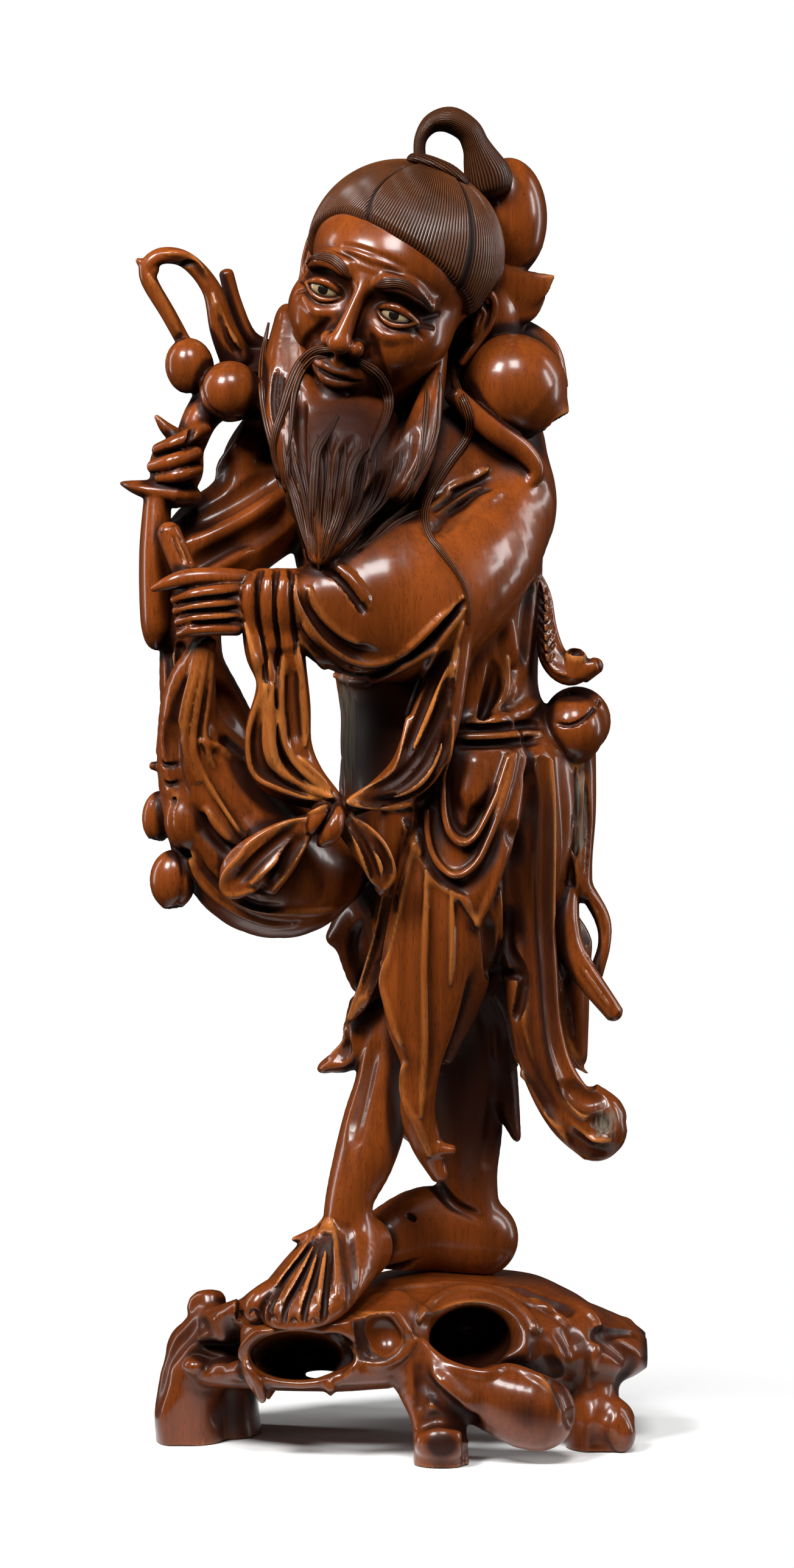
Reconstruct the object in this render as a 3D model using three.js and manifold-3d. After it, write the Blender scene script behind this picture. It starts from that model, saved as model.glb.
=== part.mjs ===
// A carved hardwood figure of an old man walking with a branch of peaches, on a root stand.
// Millimetres, +Z up. The figure faces -Y, and the origin is on the ground under the middle of the stand.
import * as THREE from 'three';
import { mergeVertices } from 'three/addons/utils/BufferGeometryUtils.js';
import Module from 'manifold-3d';

const wasm = await Module();
wasm.setup();

// Driving dimensions
const eyeDistance = 1800;
const eyeHeight = 326;
const eyeSide = 4.8;
const joinGap = 0.3;
const headRoll = 20;
const headTurn = -16;
const headNod = 12;
const skullHalfWidth = 28;
const leafThickness = 1.6;
const foldRadius = 1.5;
const eyeHalfWidth = 4.6;

const up = new THREE.Vector3(0, 0, 1);
const away = new THREE.Vector3(0, 1, 0);
const eye = new THREE.Vector3(eyeSide, -eyeDistance, eyeHeight);
const radians = THREE.MathUtils.degToRad;

// A place read as seen from the front: x and z where its line of sight crosses y = 0, and its depth y
function seen(x, z, y) {
  return new THREE.Vector3(x, 0, z).sub(eye).multiplyScalar(1 + y / eyeDistance).add(eye);
}

// The head's own frame, from its middle: x to the right across the face, z up to the crown, y back
const headMiddle = seen(3, 346, -8);
const headPose = new THREE.Matrix4().makeRotationY(radians(headRoll))
  .multiply(new THREE.Matrix4().makeRotationZ(radians(headTurn)))
  .multiply(new THREE.Matrix4().makeRotationX(radians(headNod)));
const headBack = away.clone().transformDirection(headPose);
const inHead = (x, z, y) => new THREE.Vector3(x, y, z).applyMatrix4(headPose).add(headMiddle);

// A closed solid from a three.js geometry: shared corners are merged and flat pole triangles left out
function solid(geometry) {
  geometry.deleteAttribute('normal');
  geometry.deleteAttribute('uv');
  const merged = mergeVertices(geometry, 1e-4);
  const kept = [];
  const index = merged.getIndex().array;
  for (let i = 0; i < index.length; i += 3) {
    const [a, b, c] = [index[i], index[i + 1], index[i + 2]];
    if (a !== b && b !== c && c !== a) {
      kept.push(a, b, c);
    }
  }
  const vertProperties = merged.getAttribute('position').array;
  return new wasm.Manifold(new wasm.Mesh({ numProp: 3, vertProperties, triVerts: Uint32Array.from(kept) }));
}

// Moves every corner of a geometry to where the function says
function moved(geometry, move) {
  const place = geometry.getAttribute('position');
  const corner = new THREE.Vector3();
  for (let i = 0; i < place.count; i += 1) {
    corner.fromBufferAttribute(place, i);
    move(corner);
    place.setXYZ(i, corner.x, corner.y, corner.z);
  }
  return geometry;
}

// A limb: a capsule bent along a smooth curve through stations [x, z, y, half width, half depth].
// The depth is measured towards facing and the width across it.
// relief(angle, t) swells or pinches the section.
function limb(stations, options = {}) {
  const { sides = 6, steps = 3, caps = 1, round = 0.6 } = options;
  const { facing = away, place = seen, relief = () => 1 } = options;
  const path = new THREE.CatmullRomCurve3(stations.map(([x, z, y]) => place(x, z, y)));
  const girth = new THREE.CatmullRomCurve3(stations.map(([, , , w, d]) => new THREE.Vector3(w, d, 0)));
  const along = new THREE.Vector3();
  const across = new THREE.Vector3();
  const deep = new THREE.Vector3();
  const radius = new THREE.Vector3();
  return solid(moved(new THREE.CapsuleGeometry(1, 1, caps, sides, steps), (corner) => {
    const t = THREE.MathUtils.clamp(corner.y + 0.5, 0, 1);
    const beyond = corner.y + 0.5 - t;
    path.getTangent(t, along);
    girth.getPoint(t, radius);
    across.crossVectors(along, facing).normalize();
    deep.crossVectors(across, along).normalize();
    const swell = relief(Math.atan2(corner.z, corner.x), t);
    const [sideways, inwards] = [corner.x * radius.x * swell, corner.z * radius.y * swell];
    path.getPoint(t, corner);
    corner.addScaledVector(along, beyond * round * Math.min(radius.x, radius.y));
    corner.addScaledVector(across, sideways).addScaledVector(deep, inwards);
  }));
}

// A ball with three half sizes [across, deep, high], leaned in the front plane by an angle in degrees
function ball(x, z, y, halfSizes, lean = 0, sides = 8, rings = 5) {
  const turn = new THREE.Matrix4().makeRotationY(radians(lean));
  const centre = seen(x, z, y);
  return solid(moved(new THREE.SphereGeometry(1, sides, rings), (corner) => {
    corner.multiply(new THREE.Vector3(...halfSizes)).applyMatrix4(turn).add(centre);
  }));
}

// A ball in the head's frame
function headBall(x, z, y, halfSizes, sides = 10, rings = 7) {
  return solid(moved(new THREE.SphereGeometry(1, sides, rings), (corner) => {
    corner.set(corner.x * halfSizes[0], corner.z * -halfSizes[1], corner.y * halfSizes[2]);
    corner.add(new THREE.Vector3(x, y, z)).applyMatrix4(headPose).add(headMiddle);
  }));
}

// A peach: a ball drawn out to a soft tip at one pole, with a crease down one side.
// lean turns the tip from straight up, crease is where the groove lies round the fruit from its right side.
function peach(x, z, y, halfWidth, halfHeight, lean, crease, sides = 8, rings = 5) {
  const turn = new THREE.Matrix4().makeRotationY(radians(lean));
  const stand = new THREE.Matrix4().makeRotationX(Math.PI / 2);
  const groove = radians(crease);
  const centre = seen(x, z, y);
  return solid(moved(new THREE.SphereGeometry(1, sides, rings), (corner) => {
    const round = Math.atan2(corner.z, corner.x);
    const off = Math.atan2(Math.sin(round - groove), Math.cos(round - groove));
    const pinch = 1 - 0.12 * Math.exp(-((off / 0.3) ** 2)) * (1 - corner.y ** 8);
    const tip = 0.12 * Math.max(0, corner.y) ** 6;
    corner.set(corner.x * pinch, corner.y + tip, corner.z * pinch);
    corner.multiply(new THREE.Vector3(halfWidth, halfHeight, halfWidth));
    corner.applyMatrix4(stand).applyMatrix4(turn).add(centre);
  }));
}

// A raised fold or cord of one thickness through places [x, z, y], drawn out thin at both ends
function fold(places, radius = foldRadius, steps = 4) {
  const last = places.length - 1;
  const stations = places.map((place, i) => {
    const thick = i === 0 || i === last ? radius / 2 : radius;
    return [...place, thick, thick];
  });
  return limb(stations, { sides: 4, steps });
}

const joined = (solids) => solids.flat(Infinity).reduce((whole, next) => whole.add(next));

// Flutes of a draped form: a ridge and a hollow to each pair of the section's sides,
// from their depth at the top to their depth at the hem
function flutes(sides, top, hem = top) {
  return (angle, t) => 1 + (top + (hem - top) * t) * Math.cos((sides / 2) * angle);
}

function torso() {
  const trunk = limb([
    [18, 299, 12, 32, 25],
    [11, 277, 10, 39, 31],
    [15, 253, 6, 34, 29],
    [17, 228, 3, 31, 26],
    [19, 209, 3, 31, 26],
  ], { sides: 12, steps: 3, round: 0.3, relief: flutes(12, 0.005, 0.03) });
  const neck = limb([[6, 296, 8, 26, 22], [2, 312, 4, 19, 19], [0, 326, -2, 17, 18]], { sides: 7, steps: 1 });
  return [trunk, neck];
}

function leftArm() {
  const sleeve = limb([
    [37, 281, 4, 16, 17],
    [26, 266, -14, 20, 18],
    [8, 254, -28, 24, 19],
    [-10, 251, -36, 18, 14],
    [-25, 253, -41, 10, 9.5],
    [-36, 253, -43, 9.5, 8],
  ], { sides: 9, steps: 4 });
  const shoulder = ball(40, 288, 2, [11, 12, 12], 0, 6, 4);
  const palm = limb([[-40, 253, -43, 8.5, 6], [-50, 252.5, -43, 8.5, 6.5], [-57, 252, -42, 7.5, 6]],
    { steps: 2 });
  const fingers = [0, 1, 2, 3].map((i) => limb([
    [-47, 255.5 - 3.6 * i, -48, 1.9, 2.4],
    [-61 + i, 253.4 - 3.4 * i, -48, 1.8, 2.4],
  ], { sides: 4, steps: 1 }));
  const thumb = limb([[-44, 259, -44, 3, 3], [-57, 258.5, -47, 3, 3], [-67, 256.8, -46, 1.6, 2]],
    { sides: 5, steps: 2 });
  const stick = limb([[-63.5, 273.5, -40, 3.6, 3.6], [-57, 258, -42, 3.8, 3.8]], { steps: 1, round: 0.1 });
  return [sleeve, shoulder, palm, fingers, thumb, stick];
}

function rightArm() {
  const upperArm = limb([
    [-20, 289, 8, 15, 15],
    [-38, 278, 0, 15, 14],
    [-52, 267, -9, 15, 13],
    [-60, 255, -15, 10, 12],
    [-62, 246, -18, 8, 10],
  ], { sides: 7, steps: 3 });
  const shoulderPoint = limb([
    [-36, 306, 4, 5, 7],
    [-41, 296, -1, 6, 8],
    [-43.5, 286, -3, 5, 7],
  ], { steps: 2 });
  const forearm = limb([
    [-66.5, 286, -22, 4, 6],
    [-67.5, 268, -24, 5, 8],
    [-67, 250, -24, 5.5, 8],
    [-66.5, 243, -24, 5, 7],
  ], { sides: 6, steps: 2 });
  const fallingSleeve = limb([
    [-57, 250, -16, 9, 12],
    [-56.5, 234, -18, 9.5, 13],
    [-53, 220, -20, 12.5, 14],
    [-49, 209, -20, 14, 13],
  ], { sides: 7, steps: 2 });
  const fist = ball(-61, 293, -20, [8.5, 8.5, 9], 0, 6, 4);
  const fingers = [
    [[-66.5, 307.5, -22, 0.8, 1.2], [-63, 303, -22, 2.2, 2.4], [-58, 300, -21, 3, 3]],
    [[-66, 298, -24, 2.2, 2.8], [-60, 300, -25, 2.8, 3.4], [-53, 303, -21, 2.6, 3]],
    [[-68, 293, -26, 2, 2.4], [-62, 294, -30, 2.6, 2.6], [-55, 296, -26, 2.4, 2.4]],
  ].map((stations) => limb(stations, { sides: 4, steps: 2 }));
  const cuff = limb([
    [-75.3, 287.6, -20, 1.2, 3],
    [-69, 286.5, -21, 3.6, 7],
    [-61, 285, -21, 5, 9],
  ], { sides: 5, steps: 2 });
  return [upperArm, shoulderPoint, forearm, fallingSleeve, fist, fingers, cuff];
}

function branch() {
  const bough = limb([
    [34, 329, 8, 6.5, 7],
    [8, 331, 16, 6, 7],
    [-22, 326, 8, 7, 8],
    [-41, 319, -4, 9, 8],
    [-52, 310, -12, 6.5, 7],
    [-57, 300, -17, 5.5, 6],
    [-61, 289, -19, 5.5, 6],
  ], { sides: 6, steps: 5 });
  const loopedTwig = limb([
    [-57, 327, -12, 2.4, 2.6],
    [-63, 338, -12, 2.5, 2.6],
    [-69.5, 350, -12, 2.7, 3],
    [-66, 355.5, -12, 2.6, 3],
    [-58, 354.5, -11, 2.6, 3],
    [-50.5, 346, -10, 3, 3.2],
    [-47, 334, -10, 4.2, 4],
    [-43, 325, -8, 5, 5],
  ], { sides: 5, steps: 8 });
  const twigCorner = limb([[-68, 351, -12, 2.6, 2.4], [-72, 354.3, -12, 1, 1.4]], { sides: 4, steps: 1 });
  const stub = limb([
    [-46, 350, -5, 2.3, 2.4],
    [-43.5, 341, -4, 2.6, 2.6],
    [-39, 331.5, -3, 2.6, 3],
    [-31, 327, 0, 2.8, 3],
  ], { sides: 4, steps: 3 });
  const buds = [
    peach(-57, 323, -14, 7.5, 9.2, 170, 200),
    peach(-45, 315.5, -19, 9.4, 9.8, 130, 215),
  ];
  return [bough, loopedTwig, twigCorner, stub, buds];
}

function shoulderPeaches() {
  const upper = peach(38.4, 367.5, 6, 11.3, 19, 178, 330, 9, 5);
  const lower = peach(39.5, 317, -4, 15.8, 17.6, 128, 315, 9, 5);
  const leaves = [
    [[34, 350, 0, 4, leafThickness], [43, 346, 2, 5.5, leafThickness], [50.6, 349.3, 3, 0.8, 1]],
    [[38, 332, 8, 7, 3], [48, 327, 8, 5.5, 3], [53.5, 318, 6, 2.4, 2]],
  ].map((stations) => limb(stations, { sides: 4, steps: 2 }));
  const cutStem = limb([
    [22, 314, -16, 3, 3],
    [33, 304.5, -15, 4.2, 3],
    [42.5, 297.5, -11, 4.2, 3],
    [45.2, 291, -9, 3.2, 3],
    [40.5, 284.6, -11, 1.2, 2],
  ], { sides: 4, steps: 4 });
  const mass = ball(30, 338, 8, [13, 12, 15], 0, 6, 4);
  return [upper, lower, leaves, cutStem, mass];
}

// The eyes' inlays, and with grown = joinGap the sockets cut for them
function eyeInlay(side, grown = 0) {
  return headBall(11.5 * side, -1.5, -26, [eyeHalfWidth + grown, 2.2 + grown, 2.4 + grown], 8, 5);
}

function head() {
  const facing = headBack;
  const carved = (stations, steps = 2) => limb(stations, { sides: 4, steps, facing, place: inHead });
  const cranium = headBall(0, 12, 2, [skullHalfWidth, 29.5, 26], 8, 5);
  const face = headBall(0, -12, -7, [24, 22, 30], 9, 6);
  const brow = carved([
    [-19, 3, -20, 2.6, 3],
    [-9, 5.5, -27, 2.8, 3],
    [0, 3, -29, 2.2, 3],
    [9, 5.5, -27, 2.8, 3],
    [19, 3, -20, 2.6, 3],
  ], 4);
  const nose = carved([[0, 2, -28, 2, 3], [0, -8, -31.5, 3, 3.4], [0, -15.5, -34, 4.6, 4.4]], 2);
  const mouth = carved([[-7.5, -27, -26.5, 1, 1.6], [0, -26.5, -29, 2.6, 2.6], [7.5, -27, -26.5, 1, 1.6]], 2);
  const ears = [-1, 1].map((side) => limb([
    [27 * side, 6, 2, 2, 4],
    [29.5 * side, -2, 3, 2.2, 4.6],
    [27 * side, -13, 0, 1.6, 3],
  ], { sides: 4, steps: 2, facing, place: inHead }));
  const combed = limb([[0, -8, 18, 22, 17], [0, 8, 12, 27.5, 24], [0, 20, 9, 27, 26], [0, 28, 7, 21, 21]],
    { sides: 10, steps: 3, caps: 2, round: 0.45, facing, place: inHead, relief: flutes(10, 0.012) });
  const topknot = limb([
    [12, 385, -8, 4, 8],
    [12.8, 392, -8, 3, 8.5],
    [17.5, 396.6, -7, 2.9, 9],
    [24, 395.5, -6, 3.2, 9],
    [28, 388.5, -5, 4.4, 9],
    [31, 382, -5, 6.8, 8.5],
    [32.4, 375.4, -4, 5.4, 8],
  ], { sides: 5, steps: 7 });
  const knotBand = limb([[9.5, 383.5, -8, 3.2, 10], [16, 381.5, -8, 3.6, 11], [24.5, 376.5, -7, 4, 10]],
    { sides: 5, steps: 2 });
  return [cranium, face, brow, nose, mouth, ears, combed, topknot, knotBand];
}

function beard() {
  const mass = limb([
    [-11, 310, -20, 18, 9],
    [-11, 303, -27, 19, 13],
    [-13, 289, -35, 17, 11],
    [-16, 274, -42, 8.8, 7],
    [-19.5, 262.5, -45, 2, 3],
  ], { sides: 10, steps: 4, relief: flutes(10, 0.04, 0.08) });
  const cheeks = [
    [[-29.6, 336, -10, 2, 5], [-31.4, 322, -17, 3.8, 7], [-29, 306, -26, 6.5, 10], [-23, 290, -33, 6, 8]],
    [[17.6, 327, -14, 2.4, 5], [15.4, 312, -22, 5, 8], [10, 298, -30, 7.5, 9], [3, 287, -36, 6, 7]],
  ].map((stations) => limb(stations, { sides: 5, steps: 2 }));
  const moustache = [
    [[-15, 325, -32, 2.4, 3], [-23, 324, -27, 2.6, 3], [-28, 314, -28, 2.4, 2.6], [-30, 300, -33, 1, 1]],
    [[-11, 324, -33, 2.4, 3], [-2, 319, -32, 2.6, 3], [2.4, 309, -35, 2.4, 2.6], [-2, 297, -41, 1, 1]],
  ].map((stations) => limb(stations, { sides: 4, steps: 3 }));
  const sidelock = limb([
    [21, 328, -14, 2.2, 3],
    [25.5, 316, -22, 2, 2.4],
    [26, 304, -28, 1.8, 2],
    [16, 288, -41, 1.9, 2],
    [13, 277, -46, 1.9, 2],
    [20, 264, -50, 1.9, 2],
    [25.6, 254, -50, 1.6, 2],
    [26, 247, -46, 0.8, 1],
  ], { sides: 4, steps: 8 });
  return [mass, cheeks, moustache, sidelock];
}

function skirts() {
  const robe = limb([
    [19, 213, 3, 33, 28],
    [22, 192, 2, 34.5, 29],
    [23, 172, 2, 33.5, 29],
    [22, 152, 4, 29, 25],
    [20, 134, 7, 23, 20],
    [18, 120, 9, 18, 16],
  ], { sides: 14, steps: 3, round: 0.3, relief: flutes(14, 0.01, 0.08) });
  const backHem = limb([[18, 150, 16, 24, 13], [18, 122, 19, 19, 12], [17, 97, 20, 16, 8]],
    { sides: 8, steps: 2, round: 0.2, relief: flutes(8, 0.04, 0.14) });
  const hip = limb([[50, 208, 2, 8, 15], [53, 190, 4, 8, 16], [52.5, 168, 5, 7, 15], [51, 148, 6, 6.5, 13]],
    { sides: 5, steps: 2 });
  const apron = limb([
    [26, 206, -23, 12, 5],
    [26, 190, -27, 14.5, 5],
    [25, 175, -30, 12, 5],
    [27, 163, -31, 6, 4],
    [28.6, 156, -31, 0.8, 2],
  ], { sides: 6, steps: 3 });
  const frontPanel = limb([
    [18, 170, -26, 11, 6],
    [15, 150, -29, 14, 6],
    [12, 132, -29, 12.5, 6],
    [11, 113, -27, 6, 5],
    [10.5, 98, -26, 5.2, 5],
    [15.5, 86, -25, 4.4, 4],
    [19.5, 77.5, -23, 2, 3],
  ], { sides: 8, steps: 4, relief: flutes(8, 0, 0.12) });
  const leftPanel = limb([[2, 166, -17, 5, 6], [-1, 150, -18, 4.6, 6], [-4.5, 138, -18, 4.2, 5],
    [-9.4, 127.6, -17, 1.2, 3]], { sides: 4 });
  const leftFlap = limb([[-3, 130, -8, 7, 8], [-8, 118, -7, 5.4, 7], [-15.5, 113, -6, 2.2, 5]],
    { sides: 4, steps: 2 });
  const backFlap = limb([[-3, 170, 8, 8, 12], [-6.5, 155, 9, 8.2, 9], [-6.5, 146, 9, 5.4, 7],
    [-6.8, 139, 9, 2.4, 5]], { sides: 4, steps: 2 });
  const longPanel = limb([
    [45, 170, -13, 9, 9],
    [46, 148, -15, 9.5, 9],
    [45.5, 126, -17, 9, 9],
    [50, 108, -18, 9.5, 9],
    [59, 96, -19, 9, 9],
    [69, 91.5, -19, 7.2, 8],
  ], { sides: 8, steps: 5, round: 0.4, relief: flutes(8, 0, 0.1) });
  const curledEnd = limb([[62, 103, -19, 3, 9], [69.4, 103.5, -19, 3, 9], [70.6, 94, -19, 3, 8]],
    { sides: 4, steps: 2 });
  const tuckedPanel = limb([[31, 128, 4, 8, 10], [34, 111, 4, 7, 8], [40.6, 93.5, 3, 1.8, 4]],
    { sides: 4, steps: 2 });
  const backStrip = limb([[56, 150, 10, 6, 10], [57.5, 134, 12, 5, 9], [59, 117, 12, 2.6, 6]],
    { sides: 4, steps: 1 });
  const folds = [
    fold([[21.5, 200, -27], [20.5, 190, -30], [23, 182, -34], [28, 182, -35], [34, 193, -31], [40, 208, -25]],
      1.4, 5),
    fold([[12, 194, -28], [14, 181, -32], [22, 171.5, -36], [29, 173, -36], [36, 187, -32], [42.5, 208, -24]],
      1.5, 5),
    fold([[6.5, 188, -25], [10, 179, -28], [16, 169, -33], [23, 164, -35], [28.6, 155.6, -33]], 1.4, 3),
    fold([[46.5, 206, -20], [47, 180, -24], [46.5, 150, -25], [48, 125, -26], [55, 102, -27]], 1.6),
  ];
  return [robe, backHem, hip, apron, frontPanel, leftPanel, leftFlap, backFlap, longPanel, curledEnd,
    tuckedPanel, backStrip, folds];
}

function sash() {
  const fromWrist = limb([
    [-33, 246, -44, 8, 5],
    [-31.5, 228, -44, 7.2, 5],
    [-30.5, 212, -43, 8.6, 5],
    [-28, 201, -42, 8, 5],
    [-19, 194, -42, 4.4, 4],
    [-14, 190, -41, 3, 3],
  ], { sides: 8, steps: 5, relief: flutes(8, 0.16) });
  const fromHip = limb([
    [25.5, 249, -32, 2.6, 4],
    [20.5, 232, -33, 5.6, 5],
    [15, 214, -34, 7.6, 5],
    [9, 201.5, -36, 6.8, 5],
    [-3, 194, -39, 3.6, 4],
    [-12, 190.5, -41, 3, 3],
  ], { sides: 8, steps: 5, relief: flutes(8, 0.16) });
  const knot = ball(-16.5, 185.6, -42, [5.6, 5.6, 6], 0, 6, 4);
  const bows = [
    [[-20, 187.4, -42, 2.2, 2.6], [-31, 181.5, -45, 4.6, 3], [-40, 173, -45, 7.4, 3],
      [-44.4, 167, -43, 4.6, 3]],
    [[-22, 184, -42, 1.6, 2.2], [-30, 174, -44, 3.6, 2.6], [-35.5, 166, -43, 3, 2.2]],
    [[-12, 187, -40, 2.6, 3], [-4.5, 180, -40, 5.4, 3.4], [0, 172, -38, 4.8, 3.4], [1, 166, -37, 2, 2.4]],
  ].map((stations) => limb(stations, { sides: 5, steps: 3 }));
  return [fromWrist, fromHip, knot, bows];
}

function sack() {
  const body = limb([
    [-54, 240, -42, 4.6, 5],
    [-57, 226, -38, 7.6, 9],
    [-56, 210, -32, 11, 12],
    [-48, 192, -26, 19, 17],
    [-38, 177, -23, 25, 21],
    [-27, 170, -21, 17, 17],
    [-12, 170, -16, 7, 10],
  ], { sides: 12, steps: 5, relief: flutes(12, 0.1, 0.02) });
  const peaches = [
    peach(-66.6, 188.4, -22, 5.2, 8.8, 185, 240),
    peach(-58.3, 186.4, -35, 6.8, 9.7, 175, 230),
    peach(-62.4, 169, -31, 7, 9.9, 182, 60),
  ];
  const stems = [
    limb([[-63, 206, -28, 3.2, 3.4], [-62.5, 196, -28, 3.4, 3.6]], { sides: 5, steps: 1, round: 0.2 }),
    limb([[-68, 203.5, -27, 1.4, 1.8], [-63, 203, -28, 2.4, 2.6]], { sides: 4, steps: 1 }),
  ];
  return [body, peaches, stems];
}

function waistPeach() {
  const fruit = peach(57.6, 214.6, -4, 9.6, 11.2, 186, 75);
  const husk = ball(58.2, 217, 3, [10.6, 9, 10.4], 0, 7, 4);
  const leaf = limb([
    [45.6, 264, 2, 0.6, 1],
    [49, 255, 0, 2.2, leafThickness],
    [49.8, 243, -3, 2.8, leafThickness],
    [51, 235, -6, 2.8, 2],
    [55.5, 231, -8, 2.6, 2.4],
    [62, 231.5, -8, 3, 3],
  ], { sides: 4, steps: 6 });
  const cutTwigs = [
    limb([[57, 230, -8, 3.4, 3.4], [58.3, 236.6, -8, 3.7, 3.7]], { steps: 1, round: 0.1 }),
    limb([[60, 231, -3, 3, 3], [64.6, 234, -2, 2.6, 2.8]], { sides: 5, steps: 1 }),
  ];
  const bark = limb([
    [60, 207, 2, 4.4, 6],
    [60.2, 190, 0, 4.2, 6],
    [59.2, 176, -3, 4.2, 6],
    [60, 166, -4, 3.4, 5],
  ], { sides: 5, steps: 3 });
  const prongs = [
    limb([
      [60.5, 168, -4, 2.8, 4],
      [66.2, 158, -4, 2.6, 3],
      [67, 150, -5, 2, 2.6],
      [64.5, 142, -6, 2.4, 3],
    ], { sides: 4 }),
    limb([
      [57.5, 166, -5, 3.6, 4],
      [55.5, 154, -8, 3.6, 4],
      [59, 144, -10, 3.6, 3.8],
      [70.2, 129, -12, 2.6, 2.8],
    ], { sides: 5, steps: 4, round: 0.1 }),
  ];
  return [fruit, husk, leaf, cutTwigs, bark, prongs];
}

// A block with one face on a tilted plane through a place: it stands above that plane, or below it
function block(place, normal, [across, deep], side) {
  const thickness = 30;
  const turn = new THREE.Quaternion().setFromUnitVectors(up, normal.clone().normalize());
  return solid(moved(new THREE.BoxGeometry(across, deep, thickness), (corner) => {
    corner.z += (side * thickness) / 2;
    corner.applyQuaternion(turn).add(place);
  }));
}

// The two soles are cut flat, and the stand has a flat seat under each, a joint's gap lower
const frontSole = {
  place: seen(-14, 42.2, -26),
  normal: new THREE.Vector3(-0.16, -0.21, 1),
  extent: [58, 46],
};
const rearSole = { place: seen(19, 50.6, 4), normal: new THREE.Vector3(0.1, 0, 1), extent: [64, 42] };
const soleCut = ({ place, normal, extent }) => block(place, normal, extent, -1);
function seatCut({ place, normal, extent }) {
  return block(place.clone().addScaledVector(up, -joinGap), normal, extent, 1);
}

function legs() {
  const rearLeg = limb([
    [25, 132, 5, 13, 14],
    [26, 112, 7, 11, 12],
    [26, 94, 9, 9.8, 11],
    [25.5, 80, 11, 9, 10],
    [25, 66, 12, 10, 10],
  ], { sides: 8, steps: 3 });
  const rearFoot = limb([
    [34.6, 60, 12, 9, 11],
    [26, 62, 10, 9.6, 13],
    [14, 64, 6, 10, 14],
    [3, 60, 0, 9.6, 11],
    [-5, 57, -4, 8, 7],
  ], { sides: 8, steps: 3, caps: 2, facing: up });
  const frontLeg = limb([
    [3, 130, -6, 9, 12],
    [0, 110, -11, 7.6, 11],
    [-3.6, 94, -15, 8.2, 10],
    [-7.6, 78, -18, 7.6, 9],
    [-9.4, 64, -19, 8, 9],
  ], { sides: 8, steps: 3 });
  const frontFoot = limb([
    [-2, 54, -10, 6, 8],
    [-8, 55, -18, 8.4, 11],
    [-15.6, 47, -27, 11, 9],
    [-23.6, 39.6, -36, 14, 6],
  ], { sides: 8, steps: 3, facing: up });
  const toes = [0, 1, 2, 3, 4].map((i) => limb([
    [-27 + 4.4 * i, 44 - 0.5 * i, -31 - 1.4 * i, 2.6, 3],
    [-36.6 + 5.8 * i - 0.25 * i * i, 38.6 - 0.6 * i, -38.5 - 1.8 * i, i === 0 ? 4 : 2.7, i === 0 ? 4 : 3],
  ], { sides: 4, steps: 1, facing: up }));
  return [
    joined([rearLeg, rearFoot]).subtract(soleCut(rearSole)),
    joined([frontLeg, frontFoot, toes]).subtract(soleCut(frontSole)),
  ];
}

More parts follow.
